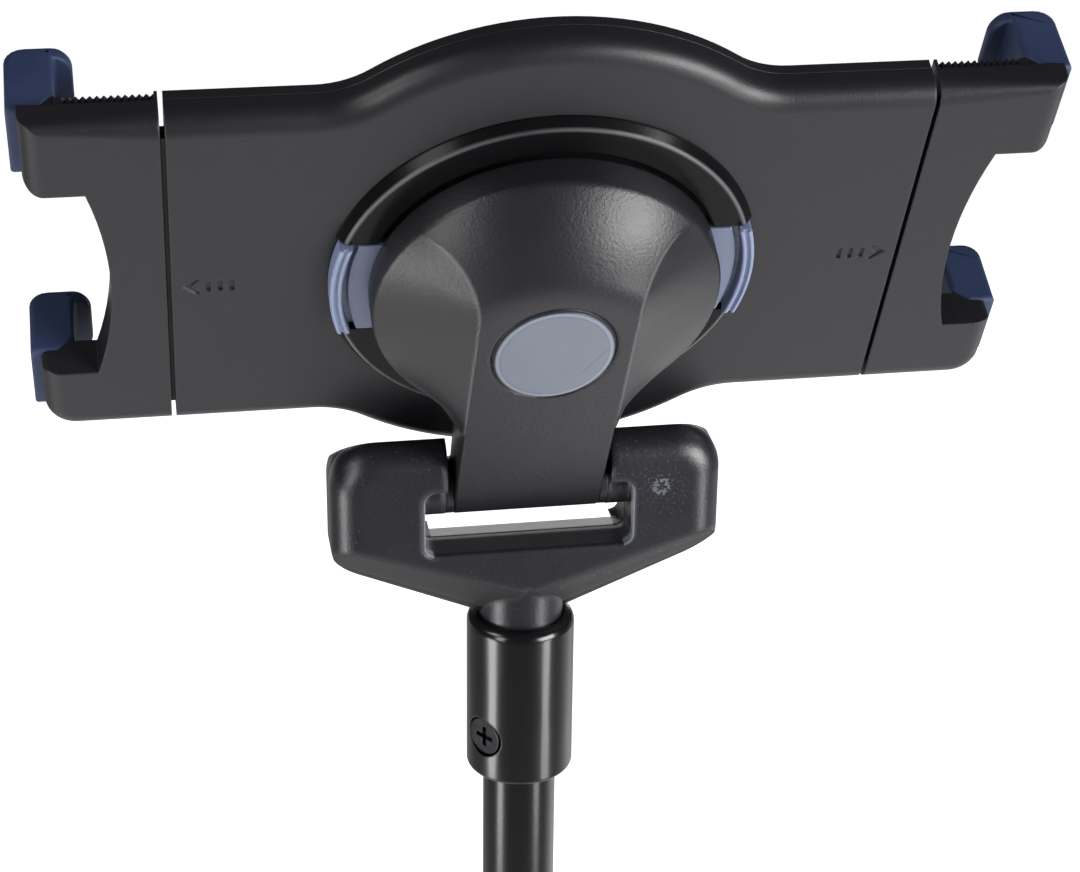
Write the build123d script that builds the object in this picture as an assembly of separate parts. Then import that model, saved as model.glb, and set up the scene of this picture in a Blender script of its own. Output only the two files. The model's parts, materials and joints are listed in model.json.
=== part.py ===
from build123d import *
import math
import os

os.makedirs("parts", exist_ok=True)

# Adjustable tablet floor stand, in millimetres, +Z up.
# The origin is on the floor under the pole. The back of the cradle, with its
# turntable and tilting neck, faces -Y, and the tablet sits on the +Y side.

# Values shared by all pieces
overrun = 5.0
fit_gap = 0.08
seat_gap = 0.3
set_gap = 0.05
thread_radius_small = 1.25

# Weighted base
foot_height = 2.5
foot_radius = 9.0
foot_count = 6
foot_inset = 18.0
weight_thickness = 8.0
weight_chamfer = 1.5
cover_radius = 140.0
cover_rim_gap = 10.0
cover_wall = 1.8
cover_floor_gap = 1.2
cover_edge_height = 12.5
cover_top_height = 22.0
cover_dome_share = 0.66
hub_flat_radius = 27.0
cover_boss_outer = 22.0
cover_boss_inner = 17.0
bolt_radius = 4.0
bolt_head_radius = 8.0
bolt_head_height = 3.0
washer_radius = 11.0
washer_thickness = 1.0
bolt_counterbore = 12.0
bolt_recess = 4.2
bolt_reach = 26.0
socket_radius = 2.6
socket_depth = 2.0
plug_length = 34.0
flange_radius = 24.0
flange_neck_radius = 14.0
flange_height = 14.0
flange_rim = 3.0

# Telescopic pole
lower_radius = 11.0
middle_radius = 9.0
top_radius = 7.0
tube_wall = 1.2
tube_length = 430.0
middle_exposed = 230.0
top_exposed = 230.0
guide_length = 30.0
guide_cap = 3.0
lock_core_wall = 2.2
lock_core_below = 22.0
lock_core_above = 14.0
lock_flange_width = 2.6
lock_flange_height = 3.6
lock_nut_wall = 3.4
lock_nut_lid = 2.0
lock_slot_width = 1.6
lock_slot_count = 4
lock_flute_radius = 1.6
lock_flute_count = 16
lock_edge = 0.9

# Collar that joins the top tube and the turning head
collar_radius = 10.2
collar_height = 33.2
collar_top_round = 2.0
collar_foot_round = 0.8
collar_mouth_radius = 8.3
collar_mouth_depth = 1.6
tube_seat = 18.0
collar_web_bore = 5.0
stem_depth = 13.6
clip_thickness = 1.0
clip_slot_width = 1.4
clip_inner = 7.3
clip_outer = 8.6
clip_lift = 3.0
clip_opening = 9.0
set_screw_azimuth = 53.0
set_screw_height = 9.2
set_screw_recess_radius = 4.1
set_screw_recess = 2.5
set_screw_head_radius = 3.7
set_screw_head_height = 2.0
set_screw_shank_radius = 1.6
set_screw_shank_length = 5.0
cross_width = 0.9
cross_length = 4.2
cross_depth = 1.1

# Tilt bracket
axis_above_collar = 28.4
axis_forward = 2.0
bracket_half_width = 36.0
bracket_near_depth = 8.0
bracket_far_depth = 6.4
bracket_top = 11.2
bracket_corner_drop = 15.8
bracket_apex_drop = 30.8
bracket_foot_gap = 0.8
bracket_top_round = 9.0
bracket_low_round = 9.0
bracket_near_round = 5.6
bracket_far_round = 3.0
bracket_clearance = 0.4
bevel_face_drop = 19.6
bevel_corner_drop = 7.6
bevel_foot_depth = 8.9
arch_drop = 18.8
arch_slope = 1.3
split_depth = 0.4
window_half_width = 19.2
window_floor_drop = 10.6
window_roof_rise = 2.3
window_round = 2.0
sill_drop = 1.7
notch_half_width = 15.0
knuckle_radius = 5.3
stem_radius = 8.0
stem_top_drop = 15.6
stem_top_chamfer = 1.0
pocket_inner = 21.0
pocket_outer = 32.5
pocket_radius = 4.5
pin_radius = 2.5
pin_head_radius = 4.2
pin_head_height = 2.6
pin_nut_height = 3.0
pin_end_reach = 3.0
friction_washer_radius = 5.2
cover_screw_places = ((26.0, 11.6), (11.0, 16.2))
cover_screw_head_radius = 2.5
cover_screw_head_height = 1.5
cover_screw_recess = 2.0
cover_screw_length = 9.0

# Neck and turntable
tilt_angle = 26.4
tilt_reach = 25.0
tilt_drop = 50.4
tilt_back = 7.0
neck_lean = 6.0
neck_half_width = 13.45
neck_floor = 2.6
tongue_floor = 3.7
dome_radius = 29.8
dome_shoulder = 8.0
dome_ball_radius = 38.0
facet_rim_drop = 0.3
facet_low_end = 24.0
facet_high_end = 18.9
facet_runout = 2.2
facet_lift = 4.0
facet_steps = 10
cap_half_width = 10.2
cap_half_height = 12.6
cap_thickness = 2.0
cap_proud = 0.2
cap_shift = 2.0
swivel_shank_radius = 3.0
swivel_head_radius = 6.0
swivel_head_height = 3.2
swivel_well_radius = 7.2
swivel_well_floor = 7.4
swivel_washer_thickness = 0.8
swivel_nut_radius = 5.4
swivel_nut_height = 2.8
glide_outer = 22.0
glide_inner = 7.6
ring_outer = 36.9
ring_top_outer = 35.5
ring_inner = 30.1
ring_height = 2.0
tab_half_height = 10.4
tab_inner = 27.4
tab_outer = 36.4
tab_rim_width = 2.6
tab_floor = 0.3
tab_plate_top = 2.2
tab_rim_top = 3.3
tab_groove_width = 0.7
tab_groove_depth = 0.5

# Cradle body
body_half_width = 62.5
body_half_height = 37.5
body_rise = 1.0
body_depth = 7.5
bulge_radius = 50.2
bulge_blend = 15.0
edge_round = 3.5
front_plate_thickness = 2.0
shell_wall = 2.2
mark_depth = 0.4
mark_bar_width = 0.8
mark_bar_height = 2.6
mark_start = 52.4
mark_pitch = 2.0
mark_bar_count = 3
mark_arrow_width = 2.4
mark_arrow_height = 3.6
front_pad_length = 92.0
front_pad_height = 9.0
front_pad_thickness = 1.0
front_pad_offset = 24.0
front_pad_sink = 0.4
boss_radius = 3.2
boss_x = 20.0
boss_y = 40.0
body_screw_head_radius = 2.6
body_screw_head_height = 1.2
body_screw_length = 5.6

# Sliding jaws
seam_gap = 0.8
jaw_end = 85.2
jaw_corner = 5.5
jaw_arm_corner = 3.0
jaw_low_arm_corner = 1.4
jaw_tip_round = 1.2
cut_half_height = 22.15
cut_start = 75.5
cut_deepest = 72.4
hook_inner = 79.3
hook_outer = 87.0
hook_shelf = 5.5
hook_lip_inner = 76.3
hook_lip_face = 17.2
hook_height = 19.5
hook_chamfer = 2.8
hook_end_inset = 0.9
hook_outer_round = 3.0
hook_lip_round = 4.0
core_skin = 1.0
core_lip_skin = 0.6
serration_pitch = 1.1
serration_depth = 0.7
serration_width = 2.0
serration_sink = 0.5
bar_inner_end = 50.0
bar_near_gap = 0.3
rack_root = 15.25
rack_outer = 24.0
guide_bar_low = 27.0
guide_bar_high = 33.0
guide_bar_end = 10.0
slider_inner = 52.0

# Synchronising rack and pinion
gear_module = 1.0
pinion_teeth = 28
pressure_angle = 20.0
tooth_backlash = 0.24
pinion_bore = 8.1
pinion_boss_inner = 6.3
rack_tooth_count = 19

# Radii of the base's pieces
weight_radius = cover_radius - cover_rim_gap
foot_circle = weight_radius - foot_inset

# Heights along the pole
weight_top = foot_height + weight_thickness
lower_top = weight_top + tube_length
middle_top = lower_top + middle_exposed
middle_bottom = middle_top - tube_length
top_top = middle_top + top_exposed
top_bottom = top_top - tube_length
collar_bottom = top_top - tube_seat
collar_top = collar_bottom + collar_height
axis_z = collar_top + axis_above_collar
axis_y = -axis_forward
cover_screw_top = bracket_far_depth - cover_screw_recess + cover_screw_head_height
pitch_radius = gear_module * pinion_teeth / 2
rack_tip = pitch_radius - gear_module

# The cradle's own frame: x to the right and y up the plate as the back is seen,
# z out of the back, with the turntable's axis at its origin
tilt = math.radians(tilt_angle)
disc_y = axis_y - math.sin(tilt) * tilt_drop + math.cos(tilt) * tilt_back
disc_z = axis_z + math.cos(tilt) * tilt_drop + math.sin(tilt) * tilt_back
head = Plane(origin=(0, disc_y, disc_z), x_dir=(1, 0, 0),
             z_dir=(0, -math.cos(tilt), -math.sin(tilt))).location
tilt_axis = Pos(0, axis_y, axis_z)


def rod(radius, z_low, z_high):
    base = (Align.CENTER, Align.CENTER, Align.MIN)
    return Pos(0, 0, z_low) * Cylinder(radius, z_high - z_low, align=base)


def tube(outer, inner, z_low, z_high):
    return rod(outer, z_low, z_high) - rod(inner, z_low - overrun, z_high + overrun)


def block(x_low, x_high, y_low, y_high, z_low, z_high):
    corner = (Align.MIN, Align.MIN, Align.MIN)
    size = Box(x_high - x_low, y_high - y_low, z_high - z_low, align=corner)
    return Pos(x_low, y_low, z_low) * size


def rod_x(radius, x_low, x_high):
    return Rot(0, 90, 0) * rod(radius, x_low, x_high)


def turned(lines):
    return revolve(make_face(lines), axis=Axis.Z)


def mirrored(shape):
    return mirror(shape, about=Plane.YZ)


def save(shape, name):
    export_step(shape, f"parts/{name}.step")


# Base


def ring_places(count, radius):
    return [Rot(0, 0, 360 * i / count) * Pos(radius, 0, 0) for i in range(count)]


def base_feet():
    foot = rod(foot_radius, 0, foot_height)
    return Compound([place * foot for place in ring_places(foot_count, foot_circle)])


def base_weight():
    plate = chamfer(rod(weight_radius, foot_height, weight_top).edges(), weight_chamfer)
    plate -= rod(bolt_radius + seat_gap, 0, weight_top + overrun)
    return plate - rod(bolt_counterbore, 0, foot_height + bolt_recess)


def dome_solid(radius, low, edge, flat_radius, top):
    middle = ((radius + flat_radius) / 2, 0, edge + (top - edge) * cover_dome_share)
    lines = Polyline((0, 0, top), (0, 0, low), (radius, 0, low), (radius, 0, edge))
    lines += ThreePointArc((radius, 0, edge), middle, (flat_radius, 0, top))
    lines += Line((flat_radius, 0, top), (0, 0, top))
    return turned(lines)


def base_cover():
    outer = dome_solid(cover_radius, cover_floor_gap, cover_edge_height, hub_flat_radius, cover_top_height)
    inner = dome_solid(cover_radius - cover_wall, cover_floor_gap - overrun, cover_edge_height - cover_wall,
                       hub_flat_radius, cover_top_height - cover_wall)
    boss = tube(cover_boss_outer, cover_boss_inner, weight_top, cover_top_height - cover_wall / 2)
    shell = outer - inner + boss
    return shell - rod(lower_radius + set_gap, 0, cover_top_height + overrun)


def base_bolt():
    head_low = foot_height + bolt_recess - washer_thickness - bolt_head_height
    bolt = rod(bolt_head_radius, head_low, head_low + bolt_head_height)
    bolt += rod(bolt_radius, head_low, head_low + bolt_head_height + washer_thickness + bolt_reach)
    socket = extrude(RegularPolygon(socket_radius, 6), socket_depth + overrun)
    return bolt - Pos(0, 0, head_low - overrun) * socket


def base_washer():
    high = foot_height + bolt_recess
    return tube(washer_radius, bolt_radius + set_gap, high - washer_thickness, high)


def lower_tube_plug():
    outer = lower_radius - tube_wall - set_gap
    return tube(outer, bolt_radius + set_gap, weight_top, weight_top + plug_length)


def pole_flange():
    low = cover_top_height
    lines = Polyline((0, 0, low), (flange_radius, 0, low), (flange_radius, 0, low + flange_rim),
                     (flange_neck_radius, 0, low + flange_height), (0, 0, low + flange_height), (0, 0, low))
    return turned(lines) - rod(lower_radius + set_gap, 0, low + flange_height + overrun)


# Telescopic pole and its twist locks

def pole_tube(radius, low):
    return tube(radius, radius - tube_wall, low, low + tube_length)


def top_pole_tube():
    hole = set_screw_axis() * rod_x(set_screw_shank_radius + set_gap, 0, collar_radius)
    return pole_tube(top_radius, top_bottom) - hole


def tube_guide(radius, outer_tube_radius, low):
    bore_of_outer = outer_tube_radius - tube_wall
    sleeve = tube(bore_of_outer - fit_gap, radius + set_gap, low, low + guide_length)
    return sleeve + rod(bore_of_outer - fit_gap, low - guide_cap, low)


def lock_core(radius, inner_radius, top):
    outer = radius + lock_core_wall
    body = rod(outer, top - lock_core_below, top + lock_core_above)
    body += rod(outer + lock_flange_width, top - lock_core_below, top - lock_core_below + lock_flange_height)
    body -= rod(radius + set_gap, top - lock_core_below - overrun, top)
    body -= rod(inner_radius + seat_gap, top - overrun, top + lock_core_above + overrun)
    for i in range(lock_slot_count):
        slot = block(0, outer + overrun, -lock_slot_width / 2, lock_slot_width / 2,
                     top + lock_core_above / 2, top + lock_core_above + overrun)
        body -= Rot(0, 0, 360 * (i + 1 / 2) / lock_slot_count) * slot
    return body


def lock_nut(radius, inner_radius, top):
    core = radius + lock_core_wall
    low = top - lock_core_below + lock_flange_height + seat_gap
    high = top + lock_core_above + seat_gap + lock_nut_lid
    outer = core + lock_nut_wall
    nut = chamfer(rod(outer, low, high).edges(), lock_edge)
    nut -= rod(core + fit_gap, low - overrun, high - lock_nut_lid)
    nut -= rod(inner_radius + 2 * seat_gap, low, high + overrun)
    for place in ring_places(lock_flute_count, outer + lock_flute_radius / 2):
        nut -= place * rod(lock_flute_radius, low - overrun, high + overrun)
    return nut


# Collar and its fittings

def set_screw_axis():
    turn = Rot(0, 0, -90 - set_screw_azimuth)
    return turn * Pos(0, 0, collar_bottom + set_screw_height)


def pole_collar():
    body = rod(collar_radius, collar_bottom, collar_top)
    body = fillet(body.edges().sort_by(Axis.Z)[-1], collar_top_round)
    body = fillet(body.edges().sort_by(Axis.Z)[0], collar_foot_round)
    body -= rod(top_radius + set_gap, collar_bottom - overrun, top_top)
    body -= rod(collar_web_bore, collar_bottom, collar_top)
    body -= rod(stem_radius + fit_gap, collar_top - stem_depth - seat_gap, collar_top + overrun)
    body -= rod(collar_mouth_radius, collar_top - collar_mouth_depth, collar_top + overrun)
    groove_low = collar_top - stem_depth + clip_lift
    body -= rod(clip_outer + set_gap, groove_low, groove_low + clip_slot_width)
    recess = rod_x(set_screw_recess_radius, collar_radius - set_screw_recess, collar_radius + overrun)
    bore = rod_x(set_screw_shank_radius + set_gap, 0, collar_radius)
    return body - set_screw_axis() * (recess + bore)


def collar_screw():
    seat = collar_radius - set_screw_recess
    top = seat + set_screw_head_height
    screw = rod_x(set_screw_head_radius, seat, top)
    screw += rod_x(set_screw_shank_radius, seat - set_screw_shank_length, top)
    for half_y, half_z in ((cross_length / 2, cross_width / 2), (cross_width / 2, cross_length / 2)):
        screw -= block(top - cross_depth, top + overrun, -half_y, half_y, -half_z, half_z)
    return set_screw_axis() * screw


def stem_clip():
    low = collar_top - stem_depth + clip_lift + (clip_slot_width - clip_thickness) / 2
    ring = tube(clip_outer, clip_inner, low, low + clip_thickness)
    reach = clip_outer + overrun
    return ring - block(0, reach, -clip_opening / 2, clip_opening / 2, low - overrun, low + overrun)


# Tilt bracket, in a frame with its origin on the tilt axis

def bracket_outline():
    slope = (bracket_apex_drop - bracket_corner_drop) / bracket_half_width
    foot_drop = axis_above_collar - bracket_foot_gap
    foot_half = (bracket_apex_drop - foot_drop) / slope
    points = [(-bracket_half_width, bracket_top), (-bracket_half_width, -bracket_corner_drop),
              (-foot_half, -foot_drop), (foot_half, -foot_drop),
              (bracket_half_width, -bracket_corner_drop), (bracket_half_width, bracket_top)]
    outline = make_face(Polyline(*points, close=True))
    corners = outline.vertices().sort_by(Axis.Y)
    outline = fillet(corners[-2:], bracket_top_round)
    low = [v for v in outline.vertices() if abs(v.Y + bracket_corner_drop) < set_gap]
    return fillet(low, bracket_low_round)


def bracket_bevel(side):
    """Everything in front of a sloping face that runs down and back to the lower edge."""
    run = bracket_half_width + overrun
    sections = []
    for share in (0, run / bracket_half_width):
        face_z = -bevel_face_drop + (bevel_face_drop - bevel_corner_drop) * share
        foot_z = -bracket_apex_drop + (bracket_apex_drop - bracket_corner_drop) * share
        x = bracket_half_width * share
        front = -bracket_near_depth
        low = -bracket_apex_drop - overrun
        points = [(x, front, face_z), (x, front + bevel_foot_depth, foot_z),
                  (x, front + bevel_foot_depth, low), (x, front - overrun, low), (x, front - overrun, face_z)]
        sections.append(make_face(Polyline(*points, close=True)))
    wedge = loft(sections, ruled=True)
    return wedge if side > 0 else mirrored(wedge)


def bracket_arch():
    """The space under two sloping lines in which the front of the stem stands free."""
    low = -bracket_apex_drop - overrun
    run = bracket_half_width
    points = [(0, -arch_drop), (run, -arch_drop - arch_slope * run), (run, low - arch_slope * run),
              (-run, low - arch_slope * run), (-run, -arch_drop - arch_slope * run)]
    flat = Plane(origin=(0, -split_depth, 0), x_dir=(1, 0, 0), z_dir=(0, -1, 0))
    return extrude(flat * make_face(Polyline(*points, close=True)), bracket_near_depth + overrun)


def cradle_sweep():
    """The room that the cradle's back sweeps as it tilts, up to the far end of its range."""
    inner = tilt_back - bracket_clearance
    turn = tilt + math.radians(tilt_reach)
    high = bracket_top + overrun
    touch = (inner * math.cos(turn), inner * math.sin(turn))
    rise = (high - touch[1]) / math.cos(turn)
    lines = ThreePointArc((inner, 0), (inner * math.cos(turn / 2), inner * math.sin(turn / 2)), touch)
    lines += Polyline(touch, (touch[0] - rise * math.sin(turn), high), (inner + overrun, high),
                      (inner + overrun, 0), (inner, 0))
    side = Plane(origin=(-bracket_half_width - overrun, 0, 0), x_dir=(0, 1, 0), z_dir=(1, 0, 0))
    return extrude(side * make_face(lines), 2 * (bracket_half_width + overrun))


def bracket_block():
    flat = Plane(origin=(0, bracket_far_depth, 0), x_dir=(1, 0, 0), z_dir=(0, -1, 0))
    body = extrude(flat * bracket_outline(), bracket_near_depth + bracket_far_depth)
    near = body.faces().sort_by(Axis.Y)[0].edges()
    body = fillet(near, bracket_near_round)
    far = body.faces().sort_by(Axis.Y)[-1].edges()
    body = fillet(far, bracket_far_round)
    for side in (1, -1):
        body -= bracket_bevel(side)
    return body - cradle_sweep()


def bracket_window():
    reach = bracket_near_depth + bracket_far_depth + overrun
    window = block(-window_half_width, window_half_width, -reach, reach,
                   -window_floor_drop, window_roof_rise)
    window = fillet(window.edges().filter_by(Axis.Y), window_round)
    for side in (1, -1):
        ends = sorted((side * notch_half_width, side * (window_half_width + overrun)))
        window -= rod_x(knuckle_radius, *ends)
    return window + block(-notch_half_width, notch_half_width, -reach, reach, -window_floor_drop,
                          bracket_top + overrun)


def lobe_pocket(side):
    return rod_x(pocket_radius, *sorted((side * pocket_inner, side * pocket_outer)))


def cover_screw_axes():
    return [Pos(side * x, 0, -drop) for x, drop in cover_screw_places for side in (1, -1)]


def screw_y(head_radius, head_height, shank_radius, length, top):
    along = Rot(90, 0, 0)
    screw = along * rod(head_radius, -top, -top + head_height)
    return screw + along * rod(shank_radius, -top, -top + length)


def bracket_cover_screws():
    screw = screw_y(cover_screw_head_radius, cover_screw_head_height, thread_radius_small, cover_screw_length,
                    cover_screw_top)
    slot = block(-cross_length / 2, cross_length / 2, cover_screw_top - cross_depth / 2,
                 cover_screw_top + overrun, -cross_width / 2, cross_width / 2)
    screw -= slot
    screw -= Rot(0, 90, 0) * slot
    return tilt_axis * Compound([place * screw for place in cover_screw_axes()])


def bracket_stem():
    low = -axis_above_collar - stem_depth
    stem = chamfer(rod(stem_radius, low, -stem_top_drop).edges().sort_by(Axis.Z)[-1], stem_top_chamfer)
    groove_low = low + clip_lift
    stem -= tube(stem_radius + overrun, clip_inner - fit_gap, groove_low, groove_low + clip_slot_width)
    return Pos(0, axis_forward, 0) * stem


def bracket_drilled(body):
    body -= rod_x(pin_radius + set_gap, -pocket_outer, pocket_outer)
    for side in (1, -1):
        body -= lobe_pocket(side)
    return body


def bracket_housing():
    reach = bracket_half_width + overrun
    near_side = block(-reach, reach, -reach, -split_depth, -reach, reach)
    body = bracket_drilled(bracket_block() & near_side) - bracket_arch() + bracket_stem()
    body -= bracket_window()
    for place in cover_screw_axes():
        hole = rod(thread_radius_small + set_gap, -reach, cover_screw_length - cover_screw_top + seat_gap)
        body -= place * Rot(90, 0, 0) * hole
    return tilt_axis * body


def window_far_sill():
    far = bracket_far_depth + overrun
    drop = sill_drop * (far + split_depth) / (bracket_far_depth + split_depth)
    points = [(-split_depth, 0), (far, 0), (far, -drop)]
    side = Plane(origin=(-window_half_width, 0, -window_floor_drop), x_dir=(0, 1, 0), z_dir=(1, 0, 0))
    return extrude(side * make_face(Polyline(*points, close=True)), 2 * window_half_width)


def bracket_cover():
    reach = bracket_half_width + overrun
    far_side = block(-reach, reach, -split_depth, reach, -reach, reach)
    body = bracket_drilled(bracket_block() & far_side) - bracket_window() - window_far_sill()
    stem_hole = rod(stem_radius + set_gap, -bracket_apex_drop - overrun, -stem_top_drop + set_gap)
    body -= Pos(0, axis_forward, 0) * stem_hole
    for place in cover_screw_axes():
        head_hole = rod(cover_screw_head_radius + set_gap, -reach, cover_screw_recess - bracket_far_depth)
        shank_hole = rod(thread_radius_small + set_gap, -reach, overrun)
        body -= place * Rot(90, 0, 0) * (head_hole + shank_hole)
    return tilt_axis * body


def tilt_pin():
    head_at = -pocket_inner - pin_head_height
    end_at = pocket_inner + pin_nut_height + pin_end_reach
    return tilt_axis * (rod_x(pin_head_radius, head_at, -pocket_inner) + rod_x(pin_radius, head_at, end_at))


def tilt_nut():
    nut = extrude(RegularPolygon(pin_head_radius, 6), pin_nut_height)
    nut = Rot(0, 90, 0) * nut - rod_x(pin_radius + set_gap, -overrun, pin_nut_height + overrun)
    return tilt_axis * Pos(pocket_inner, 0, 0) * nut


def friction_washers():
    ring = rod_x(friction_washer_radius, neck_half_width + set_gap, notch_half_width - set_gap)
    ring -= rod_x(pin_radius + set_gap, 0, notch_half_width + overrun)
    return tilt_axis * Compound([ring, mirrored(ring)])


# Neck, in the cradle's frame

def face_height(y):
    at_axis = tilt_back + knuckle_radius / math.cos(math.radians(neck_lean))
    return at_axis + (y + tilt_drop) * math.tan(math.radians(neck_lean))


def face_plane(y):
    lean = math.radians(neck_lean)
    return Plane(origin=(0, y, face_height(y)), x_dir=(1, 0, 0), z_dir=(0, -math.sin(lean), math.cos(lean)))


def facet_section(y, lift=0):
    """Section of the room beside a straight ridge, over a line down to the round rim."""
    fall = face_height(min(y, 0)) - dome_shoulder + facet_rim_drop
    slope = fall / (math.sqrt(dome_radius ** 2 - y ** 2) - neck_half_width)
    top = face_height(min(y, 0)) + lift
    run = dome_radius + overrun
    points = [(neck_half_width, y, top), (run, y, top - slope * (run - neck_half_width)),
              (run, y, top + run), (neck_half_width, y, top + run)]
    return make_face(Polyline(*points, close=True))


def facet_cut(side):
    step = (facet_high_end + facet_low_end) / facet_steps
    sections = [facet_section(i * step - facet_low_end) for i in range(facet_steps + 1)]
    sections.append(facet_section(facet_high_end + facet_runout, facet_lift))
    wedge = loft(sections, ruled=True)
    wedge += extrude(sections[0], facet_low_end, dir=(0, -1, 0))
    return wedge if side > 0 else mirrored(wedge)


def neck_blank():
    ball_centre = dome_shoulder - math.sqrt(dome_ball_radius ** 2 - dome_radius ** 2)
    top = dome_shoulder + dome_radius / 2
    drum = rod(dome_radius, neck_floor, top)
    reach = dome_radius + overrun
    ball = Pos(0, 0, ball_centre) * Sphere(dome_ball_radius)
    upper = drum & ball & block(-reach, reach, 0, reach, 0, reach)
    lower = drum & block(-reach, reach, -reach, 0, 0, reach)
    tongue = block(-neck_half_width, neck_half_width, -tilt_drop, 0, tongue_floor, top)
    barrel = Pos(0, -tilt_drop, tilt_back) * rod_x(knuckle_radius, -neck_half_width, neck_half_width)
    return upper + lower + tongue + barrel


def neck_housing():
    body = neck_blank()
    for side in (1, -1):
        body -= facet_cut(side)
    reach = tilt_drop + dome_radius + overrun
    above = face_plane(0).location * block(-reach, reach, -reach, reach, 0, reach)
    body -= above
    far_end = block(-reach, reach, -reach, -tilt_drop, 0, reach)
    far_end -= Pos(0, -tilt_drop, tilt_back) * rod_x(knuckle_radius, -reach, reach)
    body -= far_end
    body -= cap_seat(set_gap)
    body -= rod(swivel_shank_radius + seat_gap, 0, reach)
    body -= rod(swivel_well_radius, swivel_well_floor, reach)
    body -= Pos(0, -tilt_drop, tilt_back) * rod_x(pin_radius + fit_gap, -reach, reach)
    return head * body


def cap_seat(gap):
    plane = face_plane(-cap_shift)
    shape = Ellipse(cap_half_width + gap, cap_half_height + gap)
    return plane.location * Pos(0, 0, -cap_thickness) * extrude(shape, cap_thickness + overrun)


def centre_cap():
    plane = face_plane(-cap_shift)
    disc = extrude(Ellipse(cap_half_width, cap_half_height), cap_thickness + cap_proud)
    return head * (plane.location * Pos(0, 0, -cap_thickness) * disc)


def swivel_screw():
    seat = swivel_well_floor + swivel_washer_thickness
    screw = rod(swivel_shank_radius, -body_depth + front_plate_thickness + seat_gap, seat)
    screw += rod(swivel_head_radius, seat, seat + swivel_head_height)
    socket = extrude(RegularPolygon(socket_radius, 6), socket_depth + overrun)
    return head * (screw - Pos(0, 0, seat + swivel_head_height - socket_depth) * socket)


def swivel_washer():
    low = swivel_well_floor
    return head * tube(swivel_head_radius, swivel_shank_radius + set_gap, low, low + swivel_washer_thickness)


def swivel_nut():
    low = -body_depth + front_plate_thickness + seat_gap
    nut = extrude(RegularPolygon(swivel_nut_radius, 6), swivel_nut_height)
    return head * (Pos(0, 0, low) * nut - rod(swivel_shank_radius + set_gap, low - overrun, overrun))


def glide_disc():
    return head * tube(glide_outer, glide_inner, set_gap, neck_floor - set_gap)


# Turntable ring and release tabs

def tab_channel(half_height):
    reach = ring_outer + overrun
    return block(tab_inner, reach, -half_height, half_height, -overrun, reach)


def turntable_ring():
    lines = Polyline((ring_inner, 0, 0), (ring_outer, 0, 0), (ring_top_outer, 0, ring_height),
                     (ring_inner, 0, ring_height), (ring_inner, 0, 0))
    ring = turned(lines)
    for side in (0, 180):
        ring -= Rot(0, 0, side) * tab_channel(tab_half_height + seat_gap)
    return head * ring


def release_tab(side):
    plate = tube(tab_outer, tab_inner, tab_floor, tab_plate_top) & tab_channel(tab_half_height)
    rim = tube(tab_outer, tab_outer - tab_rim_width, tab_floor, tab_rim_top) & tab_channel(tab_half_height)
    middle = tab_outer - tab_rim_width / 2
    groove = tube(middle + tab_groove_width / 2, middle - tab_groove_width / 2,
                  tab_rim_top - tab_groove_depth, tab_rim_top + overrun)
    tab = plate + rim - groove
    return head * (tab if side > 0 else mirrored(tab))


# Cradle body

def body_outline(inset):
    face = Rectangle(2 * body_half_width, 2 * body_half_height) + Circle(bulge_radius)
    face = Pos(0, body_rise, 0) * face
    corners = [v for v in face.vertices() if abs(v.X) < body_half_width - set_gap]
    face = fillet(corners, bulge_blend)
    return offset(face, -inset) if inset else face


def seam_slots():
    low = -body_depth + front_plate_thickness
    half = guide_bar_high + bar_near_gap
    slots = []
    for side in (1, -1):
        ends = sorted((side * (body_half_width - shell_wall - overrun), side * (body_half_width + overrun)))
        slots.append(block(*ends, -half, half, low, -shell_wall))
    return slots


def guide_ribs():
    low, high = rack_outer + bar_near_gap, guide_bar_low - bar_near_gap
    foot = -body_depth + front_plate_thickness + bar_near_gap
    rib = block(-bar_inner_end, bar_inner_end, low, high, foot, -shell_wall)
    return [rib, Rot(0, 0, 180) * rib]


def direction_mark(side):
    marks = []
    for i in range(mark_bar_count):
        x = mark_start + i * mark_pitch
        marks.append(block(x - mark_bar_width / 2, x + mark_bar_width / 2, -mark_bar_height / 2,
                           mark_bar_height / 2, -mark_depth, overrun))
    tip = mark_start + mark_bar_count * mark_pitch + mark_arrow_width
    back = tip - mark_arrow_width
    half = mark_arrow_height / 2
    points = [(back, half), (tip, 0), (back, -half), (back - mark_bar_width, -half),
              (tip - 2 * mark_bar_width, 0), (back - mark_bar_width, half)]
    chevron = extrude(make_face(Polyline(*points, close=True)), mark_depth + overrun)
    marks.append(Pos(0, 0, -mark_depth) * chevron)
    return marks if side > 0 else [mirrored(m) for m in marks]


def boss_axes():
    return [Pos(x, body_rise + y, 0) for x in (boss_x, -boss_x) for y in (boss_y, -boss_y)]


def cradle_back_shell():
    low = -body_depth + front_plate_thickness
    solid = Pos(0, 0, low) * extrude(body_outline(0), -low)
    rim = [e for e in solid.faces().sort_by(Axis.Z)[-1].edges()
           if abs(abs(e.center().X) - body_half_width) > set_gap]
    solid = fillet(rim, edge_round)
    cavity = Pos(0, 0, low - overrun) * extrude(body_outline(shell_wall), overrun - low - shell_wall)
    shell = solid - cavity
    for place in boss_axes():
        shell += place * tube(boss_radius, thread_radius_small + set_gap, low, -shell_wall)
    for rib in guide_ribs():
        shell += rib
    shell -= rod(swivel_shank_radius + set_gap, -overrun, overrun)
    for cut in seam_slots() + direction_mark(1) + direction_mark(-1):
        shell -= cut
    return head * shell


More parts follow.
